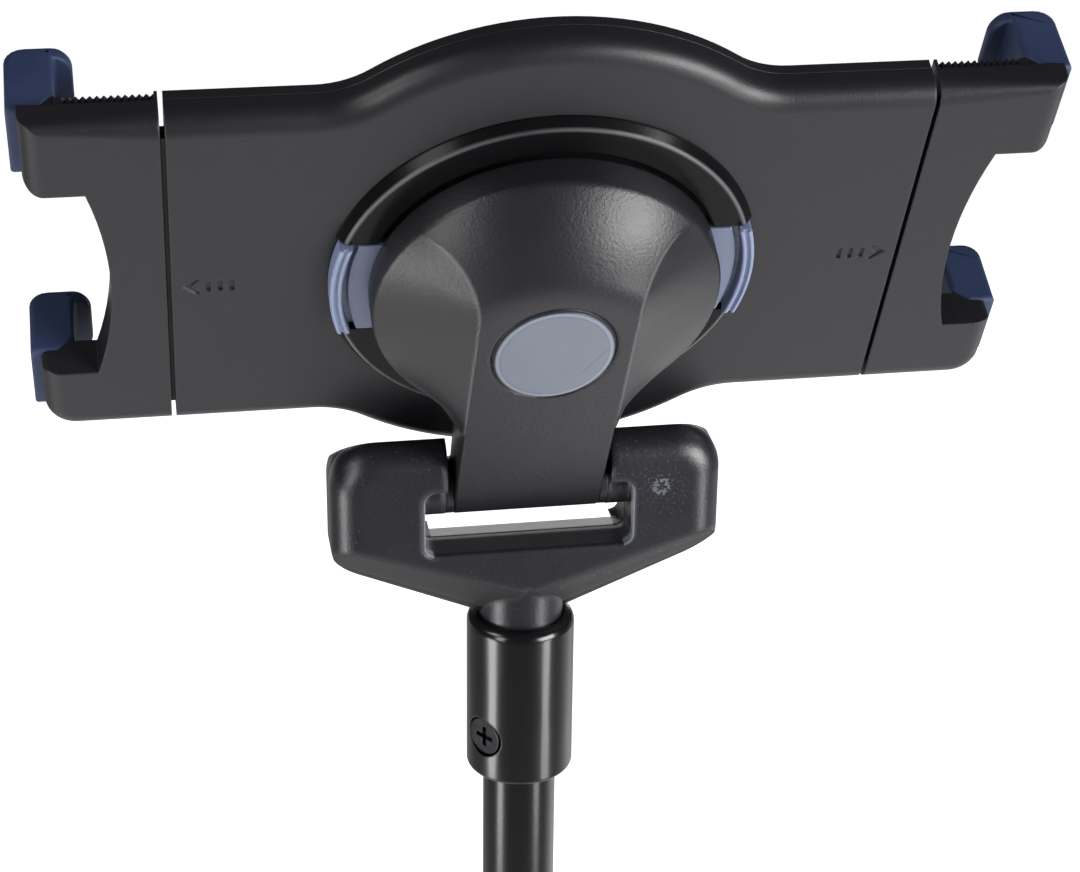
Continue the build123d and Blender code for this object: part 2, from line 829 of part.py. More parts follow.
def cradle_front_plate():
    low = -body_depth
    plate = Pos(0, 0, low) * extrude(body_outline(0), front_plate_thickness)
    boss = tube(pinion_bore - fit_gap, pinion_boss_inner, low + front_plate_thickness, -shell_wall - seat_gap)
    plate += boss
    for place in boss_axes():
        plate -= place * rod(thread_radius_small + set_gap, low - overrun, 0)
        plate -= place * rod(body_screw_head_radius + set_gap, low - overrun, low + body_screw_head_height)
    for side in (1, -1):
        plate -= Pos(0, side * front_pad_offset + body_rise, low) * front_pad_solid(front_pad_sink, set_gap)
    return head * plate


def front_pad_solid(height, gap):
    length = front_pad_length + 2 * gap
    width = front_pad_height + 2 * gap
    return extrude(SlotOverall(length, width), height)


def front_pads():
    pads = [Pos(0, side * front_pad_offset + body_rise, -body_depth + front_pad_sink - front_pad_thickness)
            * front_pad_solid(front_pad_thickness, 0) for side in (1, -1)]
    return head * Compound(pads)


def cradle_screws():
    low = -body_depth
    screw = rod(body_screw_head_radius, low, low + body_screw_head_height)
    screw += rod(thread_radius_small, low, low + body_screw_length - seat_gap)
    cross = block(-cross_length / 2, cross_length / 2, -cross_width / 2, cross_width / 2, low - overrun,
                  low + cross_depth / 2)
    screw -= cross
    screw -= Rot(0, 0, 90) * cross
    return head * Compound([place * screw for place in boss_axes()])


# Sliding jaws with their racks, made for the right side

def rack_tooth():
    half = math.pi * gear_module / 4 - tooth_backlash / 2
    lean = math.tan(math.radians(pressure_angle))
    root = half + (rack_root - pitch_radius) * lean
    tip = half - gear_module * lean
    points = [(-root, -rack_root - set_gap), (root, -rack_root - set_gap),
              (tip, -rack_tip), (-tip, -rack_tip)]
    return make_face(Polyline(*points, close=True))


def bar_depths():
    return -body_depth + front_plate_thickness + bar_near_gap, -shell_wall - bar_near_gap


def jaw_bars(side):
    low, high = bar_depths()
    start = body_half_width + seam_gap + set_gap
    bars = block(-bar_inner_end, start, -rack_outer, -rack_root, low, high)
    pitch = math.pi * gear_module
    tooth = Pos(0, 0, low) * extrude(rack_tooth(), high - low)
    first = -math.floor(bar_inner_end / pitch) + 1
    for i in range(rack_tooth_count):
        bars += Pos((first + i) * pitch, 0, 0) * tooth
    bars += block(guide_bar_end, start, guide_bar_low, guide_bar_high, low, high)
    bars = bars if side > 0 else Rot(0, 0, 180) * bars
    ends = sorted((side * slider_inner, side * start))
    return bars + block(*ends, -guide_bar_high, guide_bar_high, low, high)


def jaw_top_cut():
    """The rounding of the top edge, full at the seam and small at the outer end."""
    x_low = body_half_width + seam_gap
    top = body_rise + body_half_height
    sections = []
    for x, radius in ((x_low, edge_round), (jaw_end, jaw_tip_round)):
        bend = radius * math.sqrt(1 / 2)
        side = Plane(origin=(x, top - radius, -radius), x_dir=(0, 1, 0), z_dir=(1, 0, 0))
        lines = ThreePointArc((0, radius), (bend, bend), (radius, 0))
        lines += Polyline((radius, 0), (radius + overrun, 0), (radius + overrun, radius + overrun),
                          (0, radius + overrun), (0, radius))
        sections.append(side * make_face(lines))
    return loft(sections, ruled=True)


def jaw_plate():
    x_low = body_half_width + seam_gap
    y_low = body_rise - body_half_height
    y_high = body_rise + body_half_height
    plate = block(x_low, jaw_end, y_low, y_high, -body_depth, 0)
    upright = plate.edges().filter_by(Axis.Z).group_by(Axis.X)[-1].sort_by(Axis.Y)
    plate = fillet(upright[0], jaw_corner)
    rim = [e for e in plate.faces().sort_by(Axis.Z)[-1].edges()
           if e.center().X > x_low + set_gap and e.center().Y < y_high - set_gap]
    return fillet(rim, edge_round) - jaw_top_cut()


def jaw_cut():
    """The space between the two arms, with the arms' rounded ends."""
    low = body_rise - cut_half_height
    high = body_rise + cut_half_height
    end = jaw_end + overrun
    share = 1 - math.sqrt(1 / 2)
    lines = Line((cut_start, high), (jaw_end - jaw_arm_corner, high))
    lines += ThreePointArc((jaw_end - jaw_arm_corner, high),
                           (jaw_end - jaw_arm_corner * share, high + jaw_arm_corner * share),
                           (jaw_end, high + jaw_arm_corner))
    lines += Polyline((jaw_end, high + jaw_arm_corner), (end, high + jaw_arm_corner),
                      (end, low - jaw_low_arm_corner), (jaw_end, low - jaw_low_arm_corner))
    lines += ThreePointArc((jaw_end, low - jaw_low_arm_corner),
                           (jaw_end - jaw_low_arm_corner * share, low - jaw_low_arm_corner * share),
                           (jaw_end - jaw_low_arm_corner, low))
    lines += Line((jaw_end - jaw_low_arm_corner, low), (cut_start, low))
    lines += ThreePointArc((cut_start, low), (cut_deepest, body_rise), (cut_start, high))
    return Pos(0, 0, -body_depth - overrun) * extrude(make_face(lines), body_depth + 2 * overrun)


def serrations():
    top = body_rise + body_half_height - serration_sink
    x_low = body_half_width + seam_gap
    count = int((hook_inner - x_low) / serration_pitch) - 1
    points = [(-serration_pitch / 2, overrun), (serration_pitch / 2, overrun), (serration_pitch / 2, 0),
              (0, -serration_depth), (-serration_pitch / 2, 0)]
    groove = extrude(make_face(Polyline(*points, close=True)), serration_width + overrun)
    base = Pos(0, top, -body_depth - overrun) * groove
    strip = block(x_low + serration_pitch / 2, hook_inner + overrun, top, top + overrun,
                  -body_depth - overrun, -body_depth + serration_width)
    return [Pos(x_low + (i + 1) * serration_pitch, 0, 0) * base for i in range(count)] + [strip]


def arm_spans():
    upper = (body_rise + cut_half_height, body_rise + body_half_height - hook_end_inset)
    lower = (body_rise - body_half_height + hook_end_inset, body_rise - cut_half_height)
    return upper, lower


def hook_bar(points, span):
    """A bar along the arm whose section, in x and depth behind the back face, has these points."""
    flat = Plane(origin=(0, span[1], 0), x_dir=(1, 0, 0), z_dir=(0, -1, 0))
    section = [(x, -depth) for x, depth in points]
    return extrude(flat * make_face(Polyline(*section, close=True)), span[1] - span[0])


def rounded_lip(hook, inner, radius):
    lip = [e for e in hook.edges().filter_by(Axis.Z) if abs(e.center().X - inner) < set_gap]
    return fillet(lip, radius)


def hook_shell(span):
    points = [(hook_inner + hook_chamfer, hook_shelf), (hook_inner, hook_shelf + hook_chamfer),
              (hook_inner, hook_lip_face), (hook_lip_inner, hook_lip_face), (hook_lip_inner, hook_height),
              (hook_outer, hook_height), (hook_outer, hook_shelf)]
    hook = hook_bar(points, span)
    outer = [e for e in hook.edges().filter_by(Axis.Y)
             if e.center().X > hook_outer - set_gap and e.center().Z < -hook_height + set_gap]
    return rounded_lip(fillet(outer, hook_outer_round), hook_lip_inner, hook_lip_round)


def hook_core(span):
    inner = hook_inner + core_skin
    lip_inner = hook_lip_inner + core_skin
    lip_face = hook_lip_face + core_lip_skin
    height = hook_height - core_lip_skin
    points = [(jaw_end, hook_shelf - set_gap), (inner, hook_shelf - set_gap), (inner, lip_face),
              (lip_inner, lip_face), (lip_inner, height), (jaw_end, height)]
    core = hook_bar(points, (span[0] + core_skin, span[1] - core_skin))
    return rounded_lip(core, lip_inner, hook_lip_round - core_skin)


def hook_gusset(span):
    points = [(hook_inner, hook_shelf - set_gap), (hook_inner, hook_shelf + hook_chamfer),
              (hook_inner + hook_chamfer, hook_shelf), (hook_inner + hook_chamfer, hook_shelf - set_gap)]
    return hook_bar(points, span)


def hook_pad(span, side):
    pad = hook_shell(span) - hook_core(span)
    return head * (pad if side > 0 else mirrored(pad))


def jaw(side):
    reach = jaw_end + overrun
    body = jaw_plate() - jaw_cut()
    body -= block(hook_inner, reach, -reach, reach, -body_depth - overrun, -hook_shelf)
    for groove in serrations():
        body -= groove
    for span in arm_spans():
        body += hook_core(span) + hook_gusset(span)
    body = body if side > 0 else mirrored(body)
    return head * (body + jaw_bars(side))


def sync_pinion():
    pitch = 2 * math.pi / pinion_teeth
    half = math.pi * gear_module / 4 - tooth_backlash / 2
    lean = math.tan(math.radians(pressure_angle))
    tip_radius = pitch_radius + gear_module
    root_radius = pitch_radius - (rack_root - pitch_radius)
    tip = half - gear_module * lean
    root = half + (rack_root - pitch_radius) * lean
    points = []
    for i in range(pinion_teeth):
        middle = (i + 1 / 2) * pitch
        corners = ((root_radius, -root), (tip_radius, -tip), (tip_radius, tip), (root_radius, root))
        for radius, offset_at in corners:
            angle = middle + offset_at / radius
            points.append((radius * math.cos(angle), radius * math.sin(angle)))
    low, high = bar_depths()
    gear = Pos(0, 0, low) * extrude(make_face(Polyline(*points, close=True)), high - low)
    return head * (gear - rod(pinion_bore, -body_depth, overrun))


# All pieces

def main():
    pieces = {
        "base_feet": base_feet(),
        "base_weight": base_weight(),
        "base_cover": base_cover(),
        "base_bolt": base_bolt(),
        "base_washer": base_washer(),
        "lower_tube_plug": lower_tube_plug(),
        "pole_flange": pole_flange(),
        "lower_tube": pole_tube(lower_radius, weight_top),
        "lower_lock_core": lock_core(lower_radius, middle_radius, lower_top),
        "lower_lock_nut": lock_nut(lower_radius, middle_radius, lower_top),
        "middle_tube": pole_tube(middle_radius, middle_bottom),
        "middle_tube_guide": tube_guide(middle_radius, lower_radius, middle_bottom),
        "upper_lock_core": lock_core(middle_radius, top_radius, middle_top),
        "upper_lock_nut": lock_nut(middle_radius, top_radius, middle_top),
        "top_tube": top_pole_tube(),
        "top_tube_guide": tube_guide(top_radius, middle_radius, top_bottom),
        "pole_collar": pole_collar(),
        "collar_screw": collar_screw(),
        "stem_clip": stem_clip(),
        "bracket_housing": bracket_housing(),
        "bracket_cover": bracket_cover(),
        "bracket_cover_screws": bracket_cover_screws(),
        "tilt_pin": tilt_pin(),
        "tilt_nut": tilt_nut(),
        "friction_washers": friction_washers(),
        "neck_housing": neck_housing(),
        "centre_cap": centre_cap(),
        "swivel_screw": swivel_screw(),
        "swivel_washer": swivel_washer(),
        "swivel_nut": swivel_nut(),
        "glide_disc": glide_disc(),
        "turntable_ring": turntable_ring(),
        "release_tab_left": release_tab(-1),
        "release_tab_right": release_tab(1),
        "cradle_back_shell": cradle_back_shell(),
        "cradle_front_plate": cradle_front_plate(),
        "cradle_screws": cradle_screws(),
        "front_pads": front_pads(),
        "sync_pinion": sync_pinion(),
        "left_jaw": jaw(-1),
        "right_jaw": jaw(1),
    }
    upper, lower = arm_spans()
    for name, span in (("upper", upper), ("lower", lower)):
        pieces[f"hook_pad_{name}_left"] = hook_pad(span, -1)
        pieces[f"hook_pad_{name}_right"] = hook_pad(span, 1)
    for name, shape in pieces.items():
        save(shape, name)
    print(len(pieces), "pieces, tilt axis at", round(axis_y, 2), round(axis_z, 2),
          "disc centre at", round(disc_y, 3), round(disc_z, 3))


main()
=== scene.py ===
import json
import math

import bmesh
import bpy
import numpy as np
from bpy.props import FloatProperty, FloatVectorProperty, PointerProperty
from mathutils import Matrix, Vector


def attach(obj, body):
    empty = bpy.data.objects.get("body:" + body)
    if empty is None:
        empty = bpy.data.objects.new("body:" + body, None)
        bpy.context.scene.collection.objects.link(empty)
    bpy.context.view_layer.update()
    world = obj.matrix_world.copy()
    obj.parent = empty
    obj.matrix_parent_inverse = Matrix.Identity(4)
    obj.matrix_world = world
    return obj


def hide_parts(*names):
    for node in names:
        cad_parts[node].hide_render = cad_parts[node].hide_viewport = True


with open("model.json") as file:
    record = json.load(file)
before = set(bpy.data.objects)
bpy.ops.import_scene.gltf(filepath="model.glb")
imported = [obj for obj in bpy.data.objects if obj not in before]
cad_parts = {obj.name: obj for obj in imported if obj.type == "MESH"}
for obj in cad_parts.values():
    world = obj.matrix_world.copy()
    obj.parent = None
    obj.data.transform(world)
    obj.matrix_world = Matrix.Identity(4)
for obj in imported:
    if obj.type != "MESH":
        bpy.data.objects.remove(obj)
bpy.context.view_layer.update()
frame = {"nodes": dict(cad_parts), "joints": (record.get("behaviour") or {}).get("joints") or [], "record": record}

bl_info = {
    "name": "Tablet floor stand",
    "version": (1, 0, 0),
    "blender": (4, 5, 0),
    "location": "3D View > Sidebar > Stand",
    "description": "Dresses the tablet floor stand: mouldings, rubber, metal, lights and camera",
    "category": "Object",
}

# Lengths are in metres and Z is up. The frame is loaded above, so that its joints can give places.
joints = {joint["name"]: joint for joint in frame["joints"]}
bodies_of = {node: body for body, nodes in frame["record"]["behaviour"]["bodies"].items() for node in nodes}


# The cradle's plain frame: from the turntable's centre, x to the right, y up the plate, z out of the back

disc_centre = np.array(joints["cradle_turn"]["pos_m"], float)
disc_out = np.array(joints["cradle_turn"]["axis"], float)
disc_out = disc_out / np.linalg.norm(disc_out)
cradle_axes = np.array([(1, 0, 0), np.cross(disc_out, (1, 0, 0)), disc_out], float)
tilt_centre = np.array(joints["tilt"]["pos_m"], float)


# Meshes from whole arrays

def grid_faces(rows, columns, closed):
    """The four corner numbers of each cell of a grid. A closed grid's last column meets its first."""
    i, j = np.meshgrid(np.arange(rows - 1), np.arange(columns if closed else columns - 1), indexing="ij")
    i, j = i.ravel(), j.ravel()
    row, next_row, j_next = i * columns, (i + 1) * columns, (j + 1) % columns
    return np.stack([row + j, row + j_next, next_row + j_next, next_row + j], 1)


def new_object(name, data):
    made = bpy.data.objects.new(name, data)
    bpy.context.scene.collection.objects.link(made)
    return made


def make_piece(name, grids, body, material, smooth_angle=35.0):
    """One object from grids of points in the cradle's plain frame. Each grid is (points of shape rows x
    columns x 3, caps). Its columns close on themselves, and caps says whether its first and last row are
    closed by one face each. Points that coincide are merged, which closes seams and poles, and the faces are
    then turned outwards."""
    vertices, faces, start = [], [], 0
    for points, caps in grids:
        rows, columns = points.shape[:2]
        vertices.append((points @ cradle_axes + disc_centre).reshape(-1, 3))
        faces += (grid_faces(rows, columns, True) + start).tolist()
        if caps:
            faces.append((np.arange(columns)[::-1] + start).tolist())
            faces.append((np.arange(columns) + (rows - 1) * columns + start).tolist())
        start += rows * columns
    mesh = bpy.data.meshes.new(name)
    mesh.from_pydata(np.concatenate(vertices).tolist(), [], faces)
    work = bmesh.new()
    work.from_mesh(mesh)
    bmesh.ops.remove_doubles(work, verts=work.verts, dist=1e-7)
    bmesh.ops.dissolve_degenerate(work, dist=1e-8, edges=work.edges)
    bmesh.ops.recalc_face_normals(work, faces=work.faces)
    work.to_mesh(mesh)
    work.free()
    mesh.shade_smooth()
    mesh.set_sharp_from_angle(angle=math.radians(smooth_angle))
    piece = new_object(name, mesh)
    mesh.materials.append(material)
    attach(piece, body)
    return piece


def mark(piece, name, worth):
    """Stores a number at each vertex, worked out from the vertices' places in the cradle's plain frame."""
    mesh = piece.data
    places = np.empty(len(mesh.vertices) * 3, np.float32)
    mesh.vertices.foreach_get("co", places)
    values = worth(*((places.reshape(-1, 3) - disc_centre) @ cradle_axes.T).T)
    mesh.attributes.new(name, "FLOAT", "POINT").data.foreach_set("value", values.astype(np.float32))


def rounded_path(points, radii, steps=6):
    """A path whose inner corners are arcs. Each corner's arc touches both of its sides, at the distance
    radius / tan(half the corner's angle) from the corner, and is walked in even steps of angle. A corner that
    is nearly straight stays one point."""
    nearly_straight = math.pi / 2 - 1e-3
    points = np.array(points, float)
    out = [points[:1]]
    for before, corner, after, radius in zip(points[:-2], points[1:-1], points[2:], radii):
        a = (before - corner) / np.linalg.norm(before - corner)
        b = (after - corner) / np.linalg.norm(after - corner)
        half = math.acos(max(-1.0, min(1.0, float(a @ b)))) / 2
        if half > nearly_straight:
            out.append(corner[None])
            continue
        middle = (a + b) / np.linalg.norm(a + b)
        centre = corner + middle * radius / math.sin(half)
        turn = np.linspace(-(math.pi / 2 - half), math.pi / 2 - half, steps + 1)[:, None]
        side = (b - a) / np.linalg.norm(b - a)
        out.append(centre - middle * radius * np.cos(turn) + side * radius * np.sin(turn))
    out.append(points[-1:])
    return np.concatenate(out)


def section_grid(sections, radii, insets, along):
    """A bar with a section that may change along it. The corners of each row's section are moved inwards
    along their bisectors by that row's inset, then rounded. sections is rows x corners x 2, along gives each
    row's place."""
    steps = 5
    before, after = np.roll(sections, 1, 1) - sections, np.roll(sections, -1, 1) - sections
    a = before / np.linalg.norm(before, axis=2, keepdims=True)
    b = after / np.linalg.norm(after, axis=2, keepdims=True)
    turn = a[..., 0] * b[..., 1] - a[..., 1] * b[..., 0]
    dot = np.clip((a * b).sum(2), -1, 1)
    half = np.arccos(dot) / 2
    middle = (a + b) / np.linalg.norm(a + b, axis=2, keepdims=True)
    inward = np.where(turn < 0, -1.0, 1.0) * orientation(sections)[:, None]
    corner = sections + middle * (inward * insets[:, None] / np.sin(half))[..., None]
    radius = np.array(radii)[None, :]
    centre = corner + middle * (radius / np.sin(half))[..., None]
    share = np.linspace(-1, 1, steps + 1)[None, None, :]
    angle = share * (math.pi / 2 - half)[..., None]
    side = (b - a) / np.linalg.norm(b - a, axis=2, keepdims=True)
    arcs = (centre[:, :, None] - middle[:, :, None] * (radius[..., None] * np.cos(angle))[..., None]
            + side[:, :, None] * (radius[..., None] * np.sin(angle))[..., None])
    flat = arcs.reshape(len(sections), -1, 2)
    return np.concatenate([flat[..., :1], np.broadcast_to(along[:, None, None], flat[..., :1].shape),
                           flat[..., 1:]], 2)


def orientation(sections):
    """1 for sections that run clockwise and -1 for the others, from the sign of their area."""
    x, y = sections[..., 0], sections[..., 1]
    area = (x * np.roll(y, -1, 1) - np.roll(x, -1, 1) * y).sum(1)
    return np.where(area < 0, 1.0, -1.0)


def half_chord(radius, off):
    """Half of a circle's chord at a distance off its centre, and 0 outside the circle."""
    return np.sqrt(np.maximum(radius ** 2 - off ** 2, 0))


def edge_drop(inside, radius):
    """How far a rounded edge lies under its corner's level, at a distance inside the edge."""
    return radius - half_chord(radius, np.maximum(radius - inside, 0))


def smooth_least(a, b, blend):
    """The smaller of two heights, with the crease between them rounded over the width blend."""
    share = np.clip(0.5 + 0.5 * (b - a) / blend, 0, 1)
    return b * (1 - share) + a * share - blend * share * (1 - share)


# Shader trees

def forwards(operation):
    """An operator's method that puts the wire first."""
    return lambda wire, other: wire.combine(operation, wire, other)


def backwards(operation):
    """The reflected method, which puts the wire second, as in 1 - wire."""
    return lambda wire, other: wire.combine(operation, other, wire)


class Wire:
    """A socket of a shader tree. Arithmetic on it adds Math nodes."""
    __add__, __radd__ = forwards("ADD"), backwards("ADD")
    __sub__, __rsub__ = forwards("SUBTRACT"), backwards("SUBTRACT")
    __mul__, __rmul__ = forwards("MULTIPLY"), backwards("MULTIPLY")
    __truediv__, __rtruediv__ = forwards("DIVIDE"), backwards("DIVIDE")
    __pow__, __gt__, __lt__ = forwards("POWER"), forwards("GREATER_THAN"), forwards("LESS_THAN")

    def __init__(self, tree, socket):
        self.tree = tree
        self.socket = socket

    def combine(self, operation, first, second, clamp=False):
        values = {0: first, 1: second}
        return self.tree.add("ShaderNodeMath", {"operation": operation, "use_clamp": clamp}, values)[0]

    def clipped(self):
        return self.combine("ADD", self, 0.0, clamp=True)

    def positive(self):
        return self.combine("MAXIMUM", self, 0.0)

    def size(self):
        return self.combine("ABSOLUTE", self, 0.0)

    def swing(self, size):
        """Noise, whose middle is 0.5, made to swing round 0 by half of the size each way."""
        return (self - 0.5) * size

    def hump(self, middle, width):
        """1 at the middle, 0.5 at the width from it and near 0 beyond: one over one plus the fourth power of
        the distance from the middle in widths."""
        share = (self - middle) / width
        return 1.0 / (share * share * share * share + 1.0)


def distance(a, b):
    """The distance that lies a along one axis and b along the other."""
    return (a * a + b * b) ** 0.5


class ShaderTree:
    """The nodes of one material or of the world."""

    def __init__(self, owner):
        owner.use_nodes = True
        self.nodes = owner.node_tree.nodes
        self.links = owner.node_tree.links
        self.nodes.clear()

    def add(self, kind, settings=None, values=None):
        """Adds a node of a kind, gives it its settings and then its sockets' values or links."""
        node = self.nodes.new(kind)
        for key, value in (settings or {}).items():
            setattr(node, key, value)
        for key, value in (values or {}).items():
            if isinstance(value, Wire):
                self.links.new(value.socket, node.inputs[key])
            else:
                node.inputs[key].default_value = value
        return [Wire(self, socket) for socket in node.outputs]

    def noise(self, place, size, detail, roughness=0.5):
        """Noise whose blotches are about size metres across."""
        return self.add("ShaderNodeTexNoise", None, {"Vector": place, "Scale": 1 / size, "Detail": detail,
                                                     "Roughness": roughness})[0]

    def blend(self, share, first, second):
        """A colour between two colours."""
        return self.add("ShaderNodeMix", {"data_type": "RGBA"}, {0: share, 6: first, 7: second})[2]

    def shades(self, share, colour, dark, pale):
        """A colour that varies between a darker and a paler shade of itself, given as factors."""
        return self.blend(share, rgba(colour, dark), rgba(colour, pale))

    def tinged(self, tone, share, colour, strength, factor):
        """The tone, turned where a share says, and by a strength, towards a colour times a factor."""
        return self.blend(share * strength, tone, rgba(colour, factor))

    def split(self, vector):
        return self.add("ShaderNodeSeparateXYZ", None, {0: vector})

    def attribute(self, name):
        return self.add("ShaderNodeAttribute", {"attribute_name": name})[2]

    def stretched(self, place, scale):
        return self.add("ShaderNodeMapping", None, {"Vector": place, "Scale": scale})[0]

    def edge_normal(self, radius):
        return self.add("ShaderNodeBevel", {"samples": 6}, {"Radius": radius})[0]

    def bump(self, height, depth, strength, normal):
        values = {"Height": height, "Distance": depth, "Strength": strength, "Normal": normal}
        return self.add("ShaderNodeBump", None, values)[0]

    def surface(self, tone, rough, normal, values):
        values = {"Base Color": tone, "Roughness": rough.clipped(), "Normal": normal, **values}
        shader = self.add("ShaderNodeBsdfPrincipled", None, values)[0]
        self.add("ShaderNodeOutputMaterial", None, {"Surface": shader})


def rgba(colour, factor):
    return (colour[0] * factor, colour[1] * factor, colour[2] * factor, 1.0)


def new_tree(name):
    """A material, its nodes and the place on the piece in the object's own coordinates."""
    material = bpy.data.materials.new(name)
    tree = ShaderTree(material)
    return material, tree, tree.add("ShaderNodeTexCoord")[3]


def edge_share(tree, normal):
    """How far the rounded normal leans from the face's own, which is 0 on flats and rises along edges."""
    gain = 3.0
    flat = tree.add("ShaderNodeNewGeometry")[1]
    dot = tree.add("ShaderNodeVectorMath", {"operation": "DOT_PRODUCT"}, {0: normal, 1: flat})[1]
    return ((1.0 - dot) * gain).clipped()


def moulded_plastic(name, colour, roughness, grain=0.0005, grain_depth=0.00005, edge=0.0005, specular=0.5,
                    with_edge_highlight=False, scuffed_and_painted_light=False):
    """Injection-moulded plastic: a fine spark-eroded grain, slow changes of gloss where hands have rubbed it,
    and slightly round edges that are painted paler as a highlight. Where asked, it has painted highlight
    lines where a vertex attribute says, and pale scuff specks with painted highlight specks and lines, and it
    is painted darker as shade, and duller, where it faces down."""
    edge_highlight_tone, scuff_and_highlight_tone = (0.17, 0.17, 0.18, 1), (0.20, 0.21, 0.26, 1)
    material, tree, place = new_tree(name)
    cloud = tree.noise(place, size=0.045, detail=3.0)
    fine = tree.noise(place, size=grain, detail=2.0, roughness=0.6)
    mottle = tree.noise(place, size=0.004, detail=3.0)
    rounded = tree.edge_normal(edge)
    rim = edge_share(tree, rounded)
    tone = tree.shades(cloud, colour, dark=0.82, pale=1.18)
    # Painted highlight: the edges are painted paler where the rounded normal leans away from the face's own.
    tone = tree.tinged(tone, rim, colour, strength=0.5, factor=2.6)
    if with_edge_highlight:
        # Painted highlight lines along the edges that the vertex attribute marks.
        tone = tree.blend(tree.attribute("painted_edge_highlight") * 0.45, tone, edge_highlight_tone)
    rough = roughness + cloud.swing(0.16) + mottle.swing(0.06) + rim * 0.05
    if scuffed_and_painted_light:
        facing_down = tree.split(tree.add("ShaderNodeNewGeometry")[1])[2] * -1.0
        level_from, level_gain = 0.12, 5.0
        under = ((facing_down - level_from) * level_gain).clipped()
        # Painted shade: faces that turn down are painted darker.
        tone = tree.tinged(tone, under, colour, strength=0.8, factor=0.15)
        # Pale scuff specks, and painted highlight specks and lines on the bracket's front.
        tone = tree.blend(scuffs_and_painted_highlights(tree, place), tone, scuff_and_highlight_tone)
        rough = rough + under * 0.35
    tree.surface(tone, rough, tree.bump(fine + mottle * 0.6, depth=grain_depth, strength=0.6, normal=rounded),
                 {"IOR": 1.48, "Specular IOR Level": specular})
    return material


def scuffs_and_painted_highlights(tree, place):
    """Scuffs and painted highlights, all on the bracket's front. Scuff specks lie on a ring 2.4 mm across round
    a knock and more sparsely up to 12 mm from it; painted highlight specks lie along a line where the face
    bends, which runs up to the right. A painted highlight line follows the window's two ends: it is where the
    distance from a rectangle in the window is the window's corner radius."""
    knock_x, knock_z, knock_radius, knock_width, scatter = 0.0242, 0.9450, 0.0012, 0.0005, 0.012
    line_x, line_z, line_slope, line_width, line_start = 0.010, 0.9235, 0.36, 0.0018, 0.006
    window_z, half_width, half_height, corner = 0.93985, 0.0172, 0.00435, 0.0020
    outline_width, outline_start = 0.00018, 0.0176
    scuffs_before_y, outline_before_y = -0.0068, -0.0077
    ring_density, round_density, bend_highlight_density, threshold, gain = 0.22, 0.10, 0.14, 0.69, 6.0
    scuff_strength, outline_strength = 0.45, 0.85
    x, y, z = tree.split(place)
    specks = tree.noise(place, size=0.0005, detail=1.0, roughness=0.6)
    knock = distance(x - knock_x, z - knock_z)
    # Painted highlight: specks along the bend of the face, on its right side.
    line = (z - line_z - (x - line_x) * line_slope).hump(0.0, line_width) * (x > line_start)
    near = (knock.hump(knock_radius, knock_width) * ring_density
            + (1.0 - knock / scatter).clipped() * round_density + line * bend_highlight_density)
    # The knock's scuff specks together with the painted highlight specks along the bend.
    scuff = ((specks + near - threshold) * gain).clipped() * scuff_strength
    aside = (x.size() - half_width).positive()
    above = ((z - window_z).size() - half_height).positive()
    # Painted highlight: a thin pale line round the window's two ends.
    window_end_highlight = (distance(aside, above) - corner).hump(0.0, outline_width) * (x.size() > outline_start)
    return (scuff * (y < scuffs_before_y) + window_end_highlight * (y < outline_before_y) * outline_strength).clipped()


def gloss_plastic(name, colour, roughness, streak):
    """Polished plastic with a thin clear coat: nearly smooth, with a slow waviness, longest along Z, that bends
    reflections, hairline rubbing marks, and slightly round edges painted paler as a highlight."""
    material, tree, place = new_tree(name)
    cloud = tree.noise(place, size=0.03, detail=3.0)
    wave = tree.noise(tree.stretched(place, (1.0, 1.0, 0.22)), size=0.0045, detail=1.0)
    hair = tree.noise(tree.stretched(place, (1.0, 1.0, 0.05)), size=0.0005, detail=2.0)
    rounded = tree.edge_normal(0.0004)
    rim = edge_share(tree, rounded)
    tone = tree.shades(cloud, colour, dark=0.85, pale=1.15)
    # Painted highlight: the edges are painted paler.
    tone = tree.tinged(tone, rim, colour, strength=0.4, factor=2.2)
    rough = roughness + cloud.swing(0.08) + hair.swing(0.05)
    normal = tree.bump(wave * streak + hair * 0.04, depth=0.0002, strength=0.35, normal=rounded)
    tree.surface(tone, rough, normal, {"IOR": 1.5, "Coat Weight": 0.1, "Coat Roughness": 0.05})
    return material


def soft_rubber(name, colour, roughness):
    """Moulded rubber: matt, with a soft bloom on it, fine pits and slightly round edges painted paler as a
    highlight.
    """
    material, tree, place = new_tree(name)
    bloom = tree.noise(place, size=0.012, detail=4.0, roughness=0.6)
    pits = tree.noise(place, size=0.0004, detail=1.0)
    rounded = tree.edge_normal(0.0006)
    rim = edge_share(tree, rounded)
    tone = tree.shades(bloom, colour, dark=0.75, pale=1.25)
    # Painted highlight: the edges are painted paler.
    tone = tree.tinged(tone, rim, colour, strength=0.6, factor=2.0)
    normal = tree.bump(pits, depth=0.00004, strength=0.6, normal=rounded)
    tree.surface(tone, roughness + bloom.swing(0.2), normal, {"IOR": 1.5})
    return material


